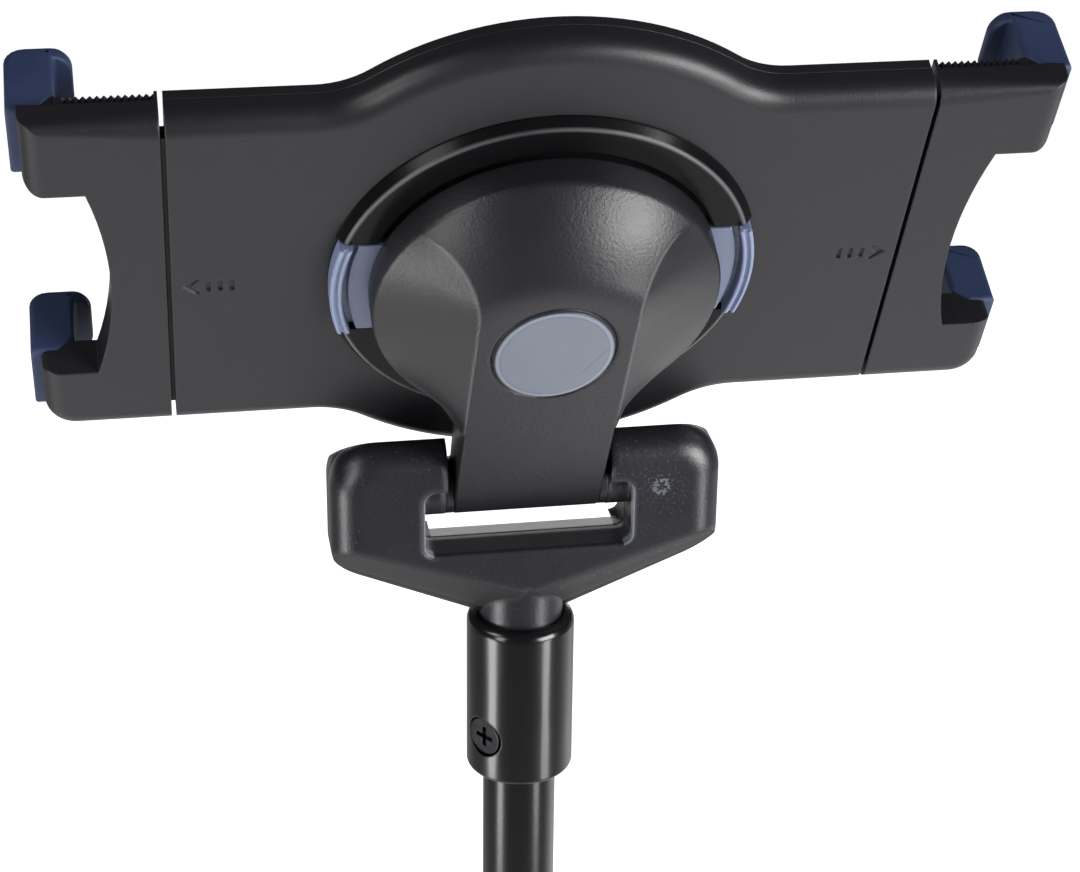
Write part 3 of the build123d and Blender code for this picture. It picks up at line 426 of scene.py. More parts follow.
def cap_plastic(name, colour, roughness):
    """The cap's satin plastic. Its oval attribute is the share of the way from its middle to its rim, and
    gives a dark ring, a painted highlight ring just outside that and a rim painted dark as shade. One fine
    scratch runs up its right side."""
    dark_ring, dark_width, highlight_ring, highlight_ring_width, rim = 0.905, 0.010, 0.945, 0.022, 0.978
    foot_x, foot_z, run_x, run_z = 0.00527, 0.97801, 0.53, 0.848
    scratch_width, scratch_length = 0.00009, 0.0066
    material, tree, place = new_tree(name)
    cloud = tree.noise(place, size=0.008, detail=3.0)
    oval = tree.attribute("oval")
    x, y, z = tree.split(place)
    along = (x - foot_x) * run_x + (z - foot_z) * run_z
    across = (x - foot_x) * run_z - (z - foot_z) * run_x
    scratch = across.hump(0.0, scratch_width) * (along > 0.0) * (along < scratch_length)
    tone = tree.shades(cloud, colour, dark=0.9, pale=1.1)
    tone = tree.tinged(tone, oval.hump(dark_ring, dark_width), colour, strength=0.4, factor=0.45)
    # Painted highlight: a pale ring near the cap's edge.
    tone = tree.tinged(tone, oval.hump(highlight_ring, highlight_ring_width), colour, strength=0.6, factor=1.7)
    # Painted shade: the outermost rim is painted dark.
    tone = tree.blend(oval > rim, tone, rgba(colour, 0.35))
    tone = tree.tinged(tone, scratch, colour, strength=0.6, factor=0.4)
    normal = tree.bump(cloud, depth=0.0001, strength=0.3, normal=tree.edge_normal(0.0002))
    tree.surface(tone, roughness + cloud.swing(0.15), normal, {"IOR": 1.46})
    return material


def plain_metal(name, colour, roughness):
    """Plated or turned metal: turning lines round an upright axis, a mottled plating and slightly round
    edges."""
    material, tree, place = new_tree(name)
    mottle = tree.noise(place, size=0.003, detail=4.0, roughness=0.6)
    lines = tree.noise(tree.stretched(place, (0.1, 0.1, 1.0)), size=0.0003, detail=1.0)
    tone = tree.shades(mottle, colour, dark=0.8, pale=1.1)
    normal = tree.bump(lines, depth=0.00003, strength=0.4, normal=tree.edge_normal(0.0003))
    tree.surface(tone, roughness + mottle.swing(0.2), normal, {"Metallic": 1.0})
    return material


def powder_coat(name, colour, roughness):
    """Satin black coating on steel tube: a faint orange peel and soft changes of gloss along the tube."""
    material, tree, place = new_tree(name)
    peel = tree.noise(place, size=0.0009, detail=1.0)
    cloud = tree.noise(tree.stretched(place, (1.0, 1.0, 0.3)), size=0.02, detail=3.0)
    tone = tree.shades(cloud, colour, dark=0.85, pale=1.2)
    normal = tree.bump(peel, depth=0.00002, strength=0.5, normal=tree.edge_normal(0.0003))
    tree.surface(tone, roughness + cloud.swing(0.1), normal, {"IOR": 1.5})
    return material


def tinted_plastic(name, colour, roughness, clear):
    """Slightly see-through tinted plastic: light enters it, so thin parts look paler than thick ones. Its
    edges are painted paler as a highlight, and the raised rim that the thin attribute marks is painted paler,
    a painted glow of light through the thin plastic."""
    material, tree, place = new_tree(name)
    cloud = tree.noise(place, size=0.006, detail=3.0)
    scuff = tree.noise(tree.stretched(place, (1.0, 0.2, 0.2)), size=0.0006, detail=2.0)
    rounded = tree.edge_normal(0.0005)
    rim = edge_share(tree, rounded)
    tone = tree.shades(cloud, colour, dark=0.75, pale=0.95)
    # Painted glow: the raised rim is painted paler, as light through thin plastic.
    tone = tree.blend(tree.attribute("thin"), tone, rgba(colour, 1.25))
    # Painted highlight: the edges are painted paler.
    tone = tree.tinged(tone, rim, colour, strength=0.6, factor=2.0)
    normal = tree.bump(scuff, depth=0.00002, strength=0.3, normal=rounded)
    tree.surface(tone, roughness + cloud.swing(0.12) + scuff.swing(0.1), normal,
                 {"IOR": 1.5, "Subsurface Weight": clear, "Subsurface Radius": (0.001, 0.0012, 0.0018),
                  "Subsurface Scale": 1.0})
    return material


finishes = {}


def finish(name):
    """The material of one of the record's slots, or of a piece's own finish, made once from the panel's
    colours."""
    if name not in finishes:
        look = bpy.context.scene.stand_finish
        makers = {
            "black_plastic": lambda: moulded_plastic("moulded_black", look.body, 0.40),
            "neck_plastic": lambda: moulded_plastic(
                "moulded_neck", look.body, 0.38, grain=0.0006, grain_depth=0.00008, with_edge_highlight=True),
            "bracket_plastic": lambda: moulded_plastic(
                "moulded_bracket", look.bracket, 0.34, grain=0.0006, grain_depth=0.00007, edge=0.0020,
                specular=0.60, scuffed_and_painted_light=True),
            "gloss_black": lambda: gloss_plastic("gloss_black", look.gloss, 0.21, streak=1.6),
            "ring_plastic": lambda: moulded_plastic(
                "moulded_ring", look.gloss, 0.20, grain=0.0006, grain_depth=0.00002, specular=0.14,
                with_edge_highlight=True),
            "pole_black": lambda: powder_coat("pole_coating", look.gloss, 0.20),
            "navy_rubber": lambda: soft_rubber("navy_rubber", look.pads, 0.6),
            "grey_blue": lambda: tinted_plastic("tinted_tab", look.tabs, 0.34, clear=0.25),
            "cap_grey": lambda: cap_plastic("cap_plastic", look.cap, 0.36),
            "steel": lambda: plain_metal("zinc_plate", (0.55, 0.55, 0.57), 0.3),
            "dark_steel": lambda: plain_metal("black_oxide", (0.06, 0.06, 0.065), 0.32),
            "iron": lambda: plain_metal("weight_iron", (0.12, 0.12, 0.12), 0.55),
            "white_nylon": lambda: moulded_plastic("natural_nylon", (0.6, 0.6, 0.57), 0.45),
            "black_rubber": lambda: soft_rubber("black_rubber", (0.012, 0.012, 0.013), 0.7),
        }
        finishes[name] = makers[name]()
    return finishes[name]


def dress(nodes, finish_name=None):
    """Gives carried-over nodes their slot's material, or another that is named."""
    slots = {part["node"]: part["material_slot"] for part in frame["record"]["subparts"]}
    for node in nodes:
        mesh = frame["nodes"][node].data
        mesh.materials.clear()
        mesh.materials.append(finish(finish_name or slots[node]))


# Settings that a user would change

def length(name, description, default):
    return FloatProperty(name=name, description=description, default=default, min=0.0, unit="LENGTH",
                         subtype="DISTANCE", precision=5)


def angle(name, description, degrees):
    return FloatProperty(name=name, description=description, default=math.radians(degrees), unit="ROTATION",
                         subtype="ANGLE")


def colour(name, description, default):
    return FloatVectorProperty(name=name, description=description, default=default, size=3, min=0.0, max=1.0,
                               subtype="COLOR")


class StandFinish(bpy.types.PropertyGroup):
    body: colour("Cradle", "Colour of the cradle's and the neck's plastic", (0.0095, 0.0095, 0.0120))
    bracket: colour("Bracket", "Colour of the tilt bracket's plastic", (0.0095, 0.0095, 0.0135))
    gloss: colour("Pole and collar", "Colour of the glossy collar and the tubes", (0.004, 0.004, 0.0045))
    pads: colour("Hook pads", "Colour of the rubber on the hooks", (0.018, 0.032, 0.085))
    tabs: colour("Release tabs", "Colour of the tinted tabs beside the dome", (0.14, 0.165, 0.25))
    cap: colour("Centre cap", "Colour of the oval cap on the neck", (0.106, 0.119, 0.148))


class StandNeck(bpy.types.PropertyGroup):
    dome_radius: length("Dome radius", "Radius of the round part of the neck", 0.0298)
    ball_radius: length("Ball radius", "Radius of the ball that shapes the upper dome", 0.0380)
    shoulder: length("Shoulder height", "Height of the dome's edge over the cradle", 0.0080)
    half_width: length("Half width", "Half of the width of the neck's flat face", 0.01345)
    floor: length("Floor height", "Gap under the neck", 0.0026)
    knuckle: length("Knuckle radius", "Radius of the neck's end round the tilt pin", 0.0053)
    lean: angle("Lean", "Angle between the neck's face and the cradle", 6)
    facet_low: length("Facet low end", "How far below the centre the side facets follow the rim", 0.0240)
    facet_high: length("Facet high end", "How far above the centre the side facets end", 0.0192)
    arch_foot: length("Arch foot", "How far above the centre a facet's straight side ends", 0.0080)
    arch_middle: length("Arch middle", "How far to the side the top of a facet's arch is", 0.0210)
    crease: length("Crease", "Width over which the facets' edges are rounded", 0.0002)
    brow: length("Brow", "Depth over which the face bends into the dome", 0.0016)
    cap_half_width: length("Cap half width", "Half of the oval cap's width", 0.0102)
    cap_half_height: length("Cap half height", "Half of the oval cap's height", 0.0126)
    cap_shift: length("Cap shift", "How far the cap sits below the dome's centre", 0.0020)


class StandTurntable(bpy.types.PropertyGroup):
    outer: length("Ring radius", "Outer radius of the ring at its foot", 0.0369)
    top_outer: length("Ring top radius", "Outer radius of the ring at its top", 0.0355)
    inner: length("Ring bore", "Inner radius of the ring", 0.0301)
    height: length("Ring height", "Height of the ring over the cradle", 0.0020)
    tab_half_height: length("Tab half height", "Half of the length of a release tab", 0.0104)
    tab_inner: length("Tab inner radius", "Radius of the tab's inner edge", 0.0274)
    tab_outer: length("Tab outer radius", "Radius of the tab's outer edge", 0.0364)
    tab_rim: length("Tab rim", "Width of the raised outer rim of a tab", 0.0021)


class StandHooks(bpy.types.PropertyGroup):
    inner: length("Inner face", "Distance of the hooks' inner faces from the middle", 0.0793)
    outer: length("Outer face", "Distance of the hooks' outer faces from the middle", 0.0870)
    lip_inner: length("Lip edge", "Distance of the lips' edges from the middle", 0.0763)
    shelf: length("Shelf depth", "Depth behind the back face at which a pad starts", 0.0055)
    lip_face: length("Lip face", "Depth of the lips' inner faces", 0.0172)
    height: length("Hook height", "Depth of the hooks' tops", 0.0195)
    chamfer: length("Chamfer", "Slope at the foot of the inner face", 0.0028)
    end_inset: length("End inset", "How far a pad stops short of the arm's edge", 0.0009)
    end_round: length("End rounding", "Rounding of the pads' ends", 0.0009)


class StandStage(bpy.types.PropertyGroup):
    lens: FloatProperty(name="Lens", description="Focal length on a 36 mm wide frame", default=87.18,
                        unit="CAMERA")
    camera_place: FloatVectorProperty(name="Camera place", description="Where the camera stands", size=3,
                                      default=(-0.06966, -0.42624, 1.16068), unit="LENGTH",
                                      subtype="TRANSLATION")
    azimuth: angle("Azimuth", "Turn of the camera to the right", 9.7185)
    drop: angle("Drop", "How far the camera looks down", 25.7798)
    roll: angle("Roll", "Roll of the camera", 0.73297)
    floor_size: length("Floor size", "Side of the floor", 14.0)


# Operators

class StandOperator:
    bl_options = {"REGISTER", "UNDO"}


class STAND_OT_stage(StandOperator, bpy.types.Operator):
    """Makes the pale floor, the world, the soft lamps and the camera"""
    bl_idname = "stand.stage"
    bl_label = "Stage, lamps and camera"

    def execute(self, context):
        stage = context.scene.stand_stage
        context.scene.view_settings.view_transform = "Standard"
        self.floor(stage)
        self.world(context.scene)
        self.lamps()
        self.camera(context.scene, stage)
        return {"FINISHED"}

    def floor(self, stage):
        """A pale floor. For the camera and for rays that bounce off something it also glows by itself, so
        that it looks nearly white, and glossy surfaces see what mirrored_floor gives instead."""
        lines, own_glow = 9, 0.91
        line = np.linspace(-stage.floor_size / 2, stage.floor_size / 2, lines)
        x, y = np.meshgrid(line, line)
        points = np.stack([x, y, np.zeros_like(x)], 2)
        mesh = bpy.data.meshes.new("floor")
        faces = grid_faces(lines, lines, False)[:, ::-1]
        mesh.from_pydata(points.reshape(-1, 3).tolist(), [], faces.tolist())
        floor = new_object("floor", mesh)
        material, tree, place = new_tree("pale_floor")
        path = tree.add("ShaderNodeLightPath")
        camera_ray, glossy_ray, reflected_ray = path[0], path[3], path[5]
        tone = tree.shades(tree.noise(place, size=0.02, detail=3.0), (1, 1, 1), dark=0.80, pale=0.84)
        lit = tree.add("ShaderNodeBsdfDiffuse", None, {"Color": tone})[0]
        plain = tree.add("ShaderNodeEmission", None, {"Color": (1, 1, 1, 1), "Strength": own_glow})[0]
        reflection = self.mirrored_floor(tree, place)
        mirrored = tree.add("ShaderNodeEmission", None, {"Color": reflection, "Strength": 1.0})[0]
        seen = tree.add("ShaderNodeAddShader", None, {0: lit, 1: plain})[0]
        to_eye = (camera_ray + reflected_ray).clipped()
        shown = tree.add("ShaderNodeMixShader", None, {0: to_eye, 1: lit, 2: seen})[0]
        shown = tree.add("ShaderNodeMixShader", None, {0: glossy_ray, 1: shown, 2: mirrored})[0]
        tree.add("ShaderNodeOutputMaterial", None, {"Surface": shown})
        mesh.materials.append(material)

    def mirrored_floor(self, tree, place):
        """A painted reflection: the glow that glossy surfaces see on the floor, laid out as a studio with flags
        and
        cards would give it: bright round the stand's foot, to its right and far behind it, dark in front, and a
        bright wedge to each side of the front. A wedge is bright round one angle about the foot, counted from the
        front, and at one distance from it."""
        foot_width, dimmest = 0.82, 0.10
        card_x, card_y, card_width, card_glow = 1.15, 0.60, 0.55, 0.9
        far_y, far_width, far_glow = 3.4, 1.6, 0.5
        right_turn, right_width, right_glow = 0.80, 0.24, 0.8
        left_turn, left_width, left_glow = -1.22, 0.22, 2.6
        wedge_away, wedge_length = 1.75, 0.75
        x, y = tree.split(place)[:2]
        away = distance(x, y)
        turn = x.combine("ARCTAN2", x, y * -1.0)
        card = distance(x - card_x, y - card_y).hump(0.0, card_width) * card_glow
        far = y.hump(far_y, far_width) * far_glow
        turns = turn.hump(right_turn, right_width) * right_glow + turn.hump(left_turn, left_width) * left_glow
        wedges = turns * away.hump(wedge_away, wedge_length)
        glow = away.hump(0.0, foot_width) + card + far + wedges + dimmest
        return tree.add("ShaderNodeCombineXYZ", None, {0: glow, 1: glow, 2: glow})[0]

    def world(self, scene):
        """White to the camera, and a dim cool room to everything else."""
        scene.world = bpy.data.worlds.new("studio")
        tree = ShaderTree(scene.world)
        camera_ray = tree.add("ShaderNodeLightPath")[0]
        room = tree.add("ShaderNodeBackground", None, {"Color": (0.9, 0.93, 1.0, 1), "Strength": 0.07})[0]
        white = tree.add("ShaderNodeBackground", None, {"Color": (1, 1, 1, 1), "Strength": 1.0})[0]
        shown = tree.add("ShaderNodeMixShader", None, {0: camera_ray, 1: room, 2: white})[0]
        tree.add("ShaderNodeOutputWorld", None, {"Surface": shown})

    def lamps(self):
        """Rectangular lamps that the camera doesn't see, each turned to the head: name, place, size and
        watts."""
        head = Vector((0, 0, 0.97))
        for name, place, size, power in (
                ("key_right", (1.30, -1.22, 1.17), (1.0, 1.0), 48.0),
                ("key_left", (-1.35, -1.10, 1.25), (0.5, 1.2), 12.0),
                ("backdrop", (0.40, 2.60, 0.95), (2.2, 0.9), 11.0),
                ("card_left", (-1.32, -0.48, 0.25), (0.40, 0.60), 6.0),
                ("card_right", (1.06, -0.92, 0.25), (0.40, 0.50), 5.0),
                ("high_left", (-2.0, -0.6, 2.6), (0.9, 0.9), 16.0)):
            data = bpy.data.lights.new(name, "AREA")
            data.shape, data.size, data.size_y, data.energy = "RECTANGLE", size[0], size[1], power
            lamp = new_object(name, data)
            lamp.location = place
            lamp.visible_camera = False
            lamp.rotation_mode = "QUATERNION"
            lamp.rotation_quaternion = (head - Vector(place)).to_track_quat("-Z", "Y")

    def camera(self, scene, stage):
        """The camera looks along its azimuth and drop, and is rolled about that line."""
        data = bpy.data.cameras.new("camera")
        data.sensor_fit, data.sensor_width, data.lens = "HORIZONTAL", 36.0, stage.lens
        data.clip_start, data.clip_end = 0.02, 60.0
        forward = Vector((math.sin(stage.azimuth) * math.cos(stage.drop),
                          math.cos(stage.azimuth) * math.cos(stage.drop), -math.sin(stage.drop)))
        right = Vector((math.cos(stage.azimuth), -math.sin(stage.azimuth), 0))
        down = forward.cross(right)
        turned_right = math.cos(stage.roll) * right - math.sin(stage.roll) * down
        turned_down = math.sin(stage.roll) * right + math.cos(stage.roll) * down
        camera = new_object("camera", data)
        camera.matrix_world = (Matrix.Translation(stage.camera_place)
                               @ Matrix((turned_right, -turned_down, -forward)).transposed().to_4x4())
        scene.camera = camera


def neck_surfaces(x, y, neck, drop, back):
    """Heights over the cradle of the brow, which is the leaning flat face bent into the ball above the
    centre, and of the side facets. A facet's inner border is the face's straight side, and above the arch's
    foot a quarter of an ellipse. From that border the facet falls on straight lines across to the rim, whose
    height is constant."""
    out_of_reach, rim_drop = 1.0, 0.0003
    lean = math.tan(neck.lean)
    at_pin = back + neck.knuckle / math.cos(neck.lean)
    ball_centre = neck.shoulder - math.sqrt(neck.ball_radius ** 2 - neck.dome_radius ** 2)

    def brow(x, y):
        ball = ball_centre + np.sqrt(np.maximum(neck.ball_radius ** 2 - x ** 2 - y ** 2, 0))
        return smooth_least(at_pin + (y + drop) * lean, np.where(y > 0, ball, out_of_reach), neck.brow)

    rise = np.clip((y - neck.arch_foot) / (neck.facet_high - neck.arch_foot), 0, 1)
    border = neck.arch_middle - (neck.arch_middle - neck.half_width) * np.sqrt(1 - rise ** 2)
    rim = neck.shoulder - rim_drop
    chord = np.sqrt(neck.dome_radius ** 2 - np.clip(y, -neck.facet_low, neck.facet_high) ** 2)
    share = np.maximum(1 - (np.abs(x) - border) / (chord - border), 0)
    facet = rim + (brow(border, y) - rim) * share
    return brow(x, y), np.where(y < neck.facet_high, facet, out_of_reach)


def neck_top(x, y, neck, drop, back):
    """The lower of the two surfaces, with the cap's groove cut into it. The groove's depth goes with the
    square root of the nearness to its middle, and its place and half width are shares of the way from the
    cap's middle to its rim."""
    groove_share, groove_half_share, groove_depth = 1.02, 0.035, 0.0006
    brow, facet = neck_surfaces(x, y, neck, drop, back)
    top = smooth_least(brow, facet, neck.crease)
    groove = np.clip(1 - np.abs(cap_share(x, y, neck) - groove_share) / groove_half_share, 0, 1)
    return top - groove_depth * groove ** 0.5


def cap_share(x, y, neck):
    """The share of the way from the oval cap's middle to its rim."""
    return np.hypot(x / neck.cap_half_width, (y + neck.cap_shift) / neck.cap_half_height)


def neck_half(y, neck):
    """Half of the neck's width at each height: the wider of the circle and the tongue."""
    round_half = half_chord(neck.dome_radius, y)
    return np.where(y > 0, round_half, np.maximum(round_half, neck.half_width))


class STAND_OT_neck(StandOperator, bpy.types.Operator):
    """Makes the neck with its dome and facets, and the oval cap"""
    bl_idname = "stand.neck"
    bl_label = "Neck and cap"

    def execute(self, context):
        neck = context.scene.stand_neck
        offset = (tilt_centre - disc_centre) @ cradle_axes.T
        self.drop, self.back = -offset[1], offset[2]
        self.housing(neck)
        self.cap(neck)
        return {"FINISHED"}

    def housing(self, neck):
        """Closed sections across the neck, one at each height: along its floor, up one side and over the top.
        They stand closer round the pin and at the dome's top. The top's outer edge is rounded by the lip."""
        lip, raised_tongue = 0.0005, 0.0011
        pin_rows, rows, crown_rows, columns, under_columns = 14, 380, 9, 201, 25
        crown_from, crown_share = 0.06, 0.9
        end, crown = np.linspace(-math.pi / 2, 0, pin_rows), np.linspace(crown_from, 0, crown_rows)
        y = np.concatenate([-self.drop + neck.knuckle * np.sin(end),
                            np.linspace(-self.drop, neck.dome_radius, rows)[1:-1],
                            neck.dome_radius * (1 - crown ** 2 * crown_share)])
        y = np.unique(np.round(y, 7))[:, None]
        half = neck_half(y, neck)
        x = half * np.linspace(-1, 1, columns)[None, :]
        reach = half_chord(neck.knuckle, y + self.drop)
        top = neck_top(x, y, neck, self.drop, self.back)
        top = np.where(y < -self.drop, self.back + reach, top)
        floor = np.where(y > -neck.dome_radius, neck.floor, neck.floor + raised_tongue)
        floor = np.where(y < -self.drop + neck.knuckle, np.minimum(floor, self.back - reach), floor)
        floor = np.where(y < -self.drop, self.back - reach, floor)
        inside = np.minimum(half - np.abs(x), neck.dome_radius - np.where(y > 0, np.hypot(x, y), 0))
        top = np.maximum(top - edge_drop(inside, lip), floor)
        upper = np.stack(np.broadcast_arrays(x, y, top), 2)
        under = half * np.linspace(1, -1, under_columns)[None, :]
        lower = np.stack(np.broadcast_arrays(under, y, floor), 2)
        points = np.concatenate([upper, lower], 1)
        piece = make_piece("neck_moulding", [(points, True)], "neck", finish("neck_plastic"),
                           smooth_angle=50.0)
        # Painted highlight lines where the facets meet the brow.
        mark(piece, "painted_edge_highlight", self.painted_edge_highlight)
        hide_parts("neck_housing")

    def painted_edge_highlight(self, x, y, z):
        """A painted highlight line: 1 where a facet meets the brow, falling to 0 where the two are 0.16 mm apart
        in height. Nothing is marked below the shoulder or within a millimetre of the dome's rim."""
        fade, unmarked_rim = 0.00016, 0.001
        neck = bpy.context.scene.stand_neck
        brow, facet = neck_surfaces(x, y, neck, self.drop, self.back)
        meet = np.clip(1 - np.abs(brow - facet) / fade, 0, 1)
        return np.where((z > neck.shoulder) & (np.hypot(x, y) < neck.dome_radius - unmarked_rim), meet, 0.0)

    def cap(self, neck):
        """An oval disc: the path (share of the radius, height) is turned, with x and y stretched to the two
        half axes, and then leaned with the neck's face."""
        millimetre = 0.001
        share = np.array([0.0, 0.25, 0.5, 0.75, 0.88, 0.93, 0.955, 0.97,
                          0.982, 0.992, 0.998, 1.0, 1.0, 1.0, 0.9, 0.0])
        height = np.array([0.45, 0.44, 0.42, 0.38, 0.35, 0.33, 0.27, 0.25,
                           0.25, 0.22, 0.15, 0.05, -0.6, -1.0, -1.2, -1.2]) * millimetre
        angle = np.linspace(0, 2 * math.pi, 160, endpoint=False)[None, :]
        x = neck.cap_half_width * share[:, None] * np.cos(angle)
        y = neck.cap_half_height * share[:, None] * np.sin(angle)
        lean = neck.lean
        up = np.array([0, math.cos(lean), math.sin(lean)])
        out = np.array([0, -math.sin(lean), math.cos(lean)])
        base = np.array([0, -neck.cap_shift, self.back + neck.knuckle / math.cos(lean)
                         + (self.drop - neck.cap_shift) * math.tan(lean)])
        points = base + x[..., None] * np.array([1.0, 0, 0]) + y[..., None] * up + height[:, None, None] * out
        piece = make_piece("oval_cap", [(points, False)], "neck", finish("cap_grey"),
                           smooth_angle=60.0)
        mark(piece, "oval", lambda x, y, z: cap_share(x, y, neck))
        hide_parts("centre_cap")


def subdivided(path, longest):
    """The closed path with extra points, so that no step is longer than a length."""
    steps = [np.linspace(first, last, max(2, math.ceil(math.dist(first, last) / longest) + 1))[:-1]
             for first, last in zip(path, np.roll(path, -1, 0))]
    return np.concatenate(steps)


def arc_grid(path, low, high, steps):
    """A closed section of (r, z) points carried round an arc, with each point's own first and last angle."""
    share = np.linspace(0, 1, steps)[:, None]
    angle = low[None, :] + (high - low)[None, :] * share
    radius, height = path[:, 0], path[:, 1]
    return np.stack(np.broadcast_arrays(radius * np.cos(angle), radius * np.sin(angle), height), 2)


class STAND_OT_turntable(StandOperator, bpy.types.Operator):
    """Makes the ring round the dome and the two tinted release tabs"""
    bl_idname = "stand.turntable"
    bl_label = "Turntable ring and tabs"

    def execute(self, context):
        table = context.scene.stand_turntable
        self.ring(table)
        for side, body in ((1, "right_tab"), (-1, "left_tab")):
            self.tab(table, side, body)
        return {"FINISHED"}

    def ring(self, table):
        """The ring's section, rounded at its top, is carried along the upper and the lower arc between the
        tabs."""
        gap = 0.0003
        path = rounded_path([(table.inner, 0), (table.inner, table.height), (table.top_outer, table.height),
                             (table.outer, 0)], (0.0004, 0.0006))
        path = subdivided(path, longest=0.0003)
        start = np.arcsin((table.tab_half_height + gap) / path[:, 0])
        grids = [(arc_grid(path, start + turn, math.pi - start + turn, 90), True) for turn in (0, math.pi)]
        piece = make_piece("ring_moulding", grids, "cradle", finish("ring_plastic"))
        # Painted highlight along the ring's upper edge.
        mark(piece, "painted_edge_highlight", lambda x, y, z: self.painted_edge_highlight(table, x, y, z))
        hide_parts("turntable_ring")

    def painted_edge_highlight(self, table, x, y, z):
        """A painted highlight along the ring's upper edge: weakest a little left of its middle, and stronger to
        both sides."""
        line_width, weakest, weakest_x, growth_length, strongest = 0.0005, 0.55, -0.006, 0.02, 1.6
        off_edge = np.hypot(np.hypot(x, y) - table.top_outer, z - table.height)
        strength = np.minimum(weakest + np.abs(x - weakest_x) / growth_length, strongest)
        return np.clip(1 - off_edge / line_width, 0, 1) * strength

    def tab(self, table, side, body):
        """The tab's section has a thin plate, a deep slot, then a raised rim with a groove. Each of its
        points runs along an arc that ends at the tab's half height."""
        foot, plate, top, slot, slot_floor = 0.0003, 0.0022, 0.0033, 0.0011, 0.0007
        groove, groove_floor = 0.0007, 0.0028
        inner, outer = table.tab_inner, table.tab_outer
        rim, middle = outer - table.tab_rim, outer - table.tab_rim / 2
        corner_radii = (0.0003, 0.0002, 0.0001, 0.0001, 0.0003, 0.0001, 0.0001, 0.0001, 0.0001, 0.0005)
        path = rounded_path([(inner, foot), (inner, plate), (rim - slot, plate), (rim - slot, slot_floor),
                             (rim, slot_floor), (rim, top), (middle - groove / 2, top),
                             (middle - groove / 2, groove_floor), (middle + groove / 2, groove_floor),
                             (middle + groove / 2, top), (outer, top), (outer, foot)], corner_radii, steps=4)
        reach = np.arcsin(table.tab_half_height / path[:, 0])
        points = arc_grid(path, -reach, reach, 60)
        points[..., 0] *= side
        piece = make_piece(body + "_moulding", [(points, True)], body, finish("grey_blue"))
        slack = 0.0001
        # Marks the raised rim, which the material paints paler as a painted glow.
        mark(piece, "thin", lambda x, y, z: np.where(np.hypot(x, y) > rim - slack, 1.0, 0.0))
        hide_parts("release_tab_right" if side > 0 else "release_tab_left")


class STAND_OT_hooks(StandOperator, bpy.types.Operator):
    """Makes the four rubber pads on the hooks"""
    bl_idname = "stand.hooks"
    bl_label = "Hook pads"

    def execute(self, context):
        hooks = context.scene.stand_hooks
        for node in ("hook_pad_upper_left", "hook_pad_upper_right", "hook_pad_lower_left",
                     "hook_pad_lower_right"):
            self.pad(hooks, node, 1 if node.endswith("right") else -1, "upper" in node)
        return {"FINISHED"}

    def pad(self, hooks, node, side, upper):
        """A hooked section carried along the arm. Near both ends the lip's edge draws back on an arc of 4 mm,
        and the whole section shrinks by the end rounding."""
        arm_middle, arm_half, pad_start, draw = 0.001, 0.0375, 0.02215, 0.004
        shortest_lip = 0.0002
        low, high = pad_start, arm_half - hooks.end_inset
        span = (arm_middle + low, arm_middle + high) if upper else (arm_middle - high, arm_middle - low)
        share = (1 - np.cos(np.linspace(0, math.pi, 61))) / 2
        along = span[0] + (span[1] - span[0]) * share
        end = np.minimum(along - span[0], span[1] - along)
        inset = edge_drop(end, hooks.end_round)
        lip = np.minimum(hooks.lip_inner + edge_drop(end, draw), hooks.inner - shortest_lip)
        corners = [(hooks.inner + hooks.chamfer, hooks.shelf), (hooks.inner, hooks.shelf + hooks.chamfer),
                   (hooks.inner, hooks.lip_face), (lip, hooks.lip_face), (lip, hooks.height),
                   (hooks.outer, hooks.height), (hooks.outer, hooks.shelf)]
        ones = np.ones_like(along)
        sections = np.stack([np.stack([x * ones, -depth * ones], 1) for x, depth in corners], 1)
        corner_radii = (0.0002, 0.0009, 0.0006, 0.0005, 0.0007, 0.0030, 0.0004)
        points = section_grid(sections, corner_radii, inset, along)
        points[..., 0] *= side
        piece = make_piece(node + "_rubber", [(points, True)], bodies_of[node], finish("navy_rubber"))
        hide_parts(node)


class STAND_OT_cradle(StandOperator, bpy.types.Operator):
    """Finishes the cradle's shell, its front plate, the sliding jaws and what is inside"""
    bl_idname = "stand.cradle"
    bl_label = "Cradle and jaws"

    def execute(self, context):
        dress(["cradle_back_shell", "cradle_front_plate", "left_jaw", "right_jaw", "front_pads",
               "cradle_screws", "sync_pinion", "glide_disc", "swivel_screw", "swivel_washer", "swivel_nut"])
        return {"FINISHED"}


class STAND_OT_bracket(StandOperator, bpy.types.Operator):
    """Finishes the tilt bracket, its cover and its fastenings"""
    bl_idname = "stand.bracket"
    bl_label = "Tilt bracket"

    def execute(self, context):
        dress(["bracket_housing", "bracket_cover"], "bracket_plastic")
        dress(["bracket_cover_screws", "tilt_pin", "tilt_nut", "friction_washers", "stem_clip"])
        return {"FINISHED"}


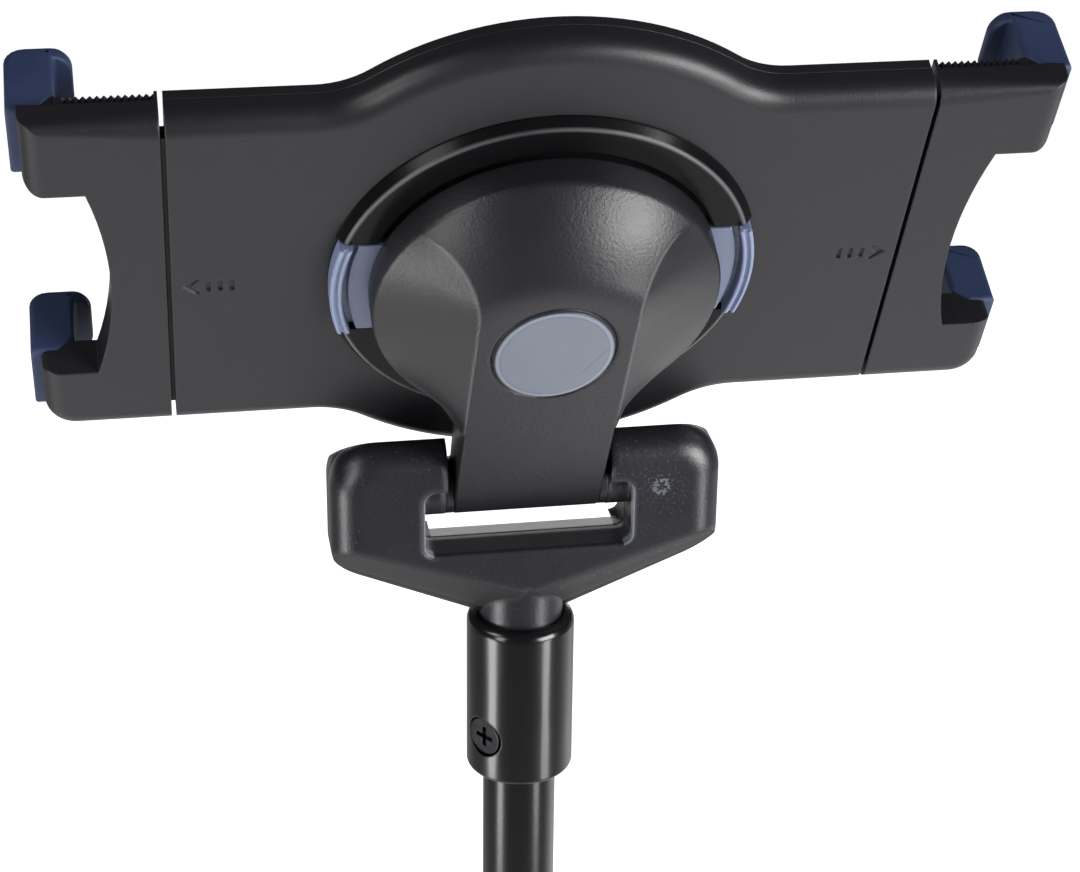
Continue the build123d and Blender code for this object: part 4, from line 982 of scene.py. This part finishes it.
class STAND_OT_pole(StandOperator, bpy.types.Operator):
    """Finishes the collar, the three tubes and the twist locks"""
    bl_idname = "stand.pole"
    bl_label = "Pole"

    def execute(self, context):
        dress(["pole_collar", "collar_screw", "lower_tube", "middle_tube", "top_tube", "lower_lock_core",
               "upper_lock_core", "lower_lock_nut", "upper_lock_nut", "middle_tube_guide", "top_tube_guide"])
        return {"FINISHED"}


class STAND_OT_base(StandOperator, bpy.types.Operator):
    """Finishes the weighted base"""
    bl_idname = "stand.base"
    bl_label = "Base"

    def execute(self, context):
        dress(["base_feet", "base_weight", "base_cover", "base_bolt", "base_washer", "lower_tube_plug",
               "pole_flange"])
        return {"FINISHED"}


class STAND_PT_panel(bpy.types.Panel):
    """Lists the stand's operators and settings"""
    bl_label = "Tablet floor stand"
    bl_space_type = "VIEW_3D"
    bl_region_type = "UI"
    bl_category = "Stand"

    def draw(self, context):
        for operator in operators:
            self.layout.operator(operator.bl_idname)
        for group in groups:
            settings = getattr(context.scene, group)
            box = self.layout.box()
            for name in groups[group].__annotations__:
                box.prop(settings, name)


operators = (STAND_OT_stage, STAND_OT_cradle, STAND_OT_hooks, STAND_OT_turntable, STAND_OT_neck,
             STAND_OT_bracket, STAND_OT_pole, STAND_OT_base)
groups = {"stand_finish": StandFinish, "stand_neck": StandNeck, "stand_turntable": StandTurntable,
          "stand_hooks": StandHooks, "stand_stage": StandStage}


def register():
    for group in groups:
        bpy.utils.register_class(groups[group])
        setattr(bpy.types.Scene, group, PointerProperty(type=groups[group]))
    for operator in operators:
        bpy.utils.register_class(operator)
    bpy.utils.register_class(STAND_PT_panel)


def unregister():
    bpy.utils.unregister_class(STAND_PT_panel)
    for operator in reversed(operators):
        bpy.utils.unregister_class(operator)
    for group in groups:
        delattr(bpy.types.Scene, group)
        bpy.utils.unregister_class(groups[group])


def main():
    register()
    for operator in operators:
        section, name = operator.bl_idname.split(".")
        getattr(getattr(bpy.ops, section), name)()


if __name__ == "__main__":
    main()
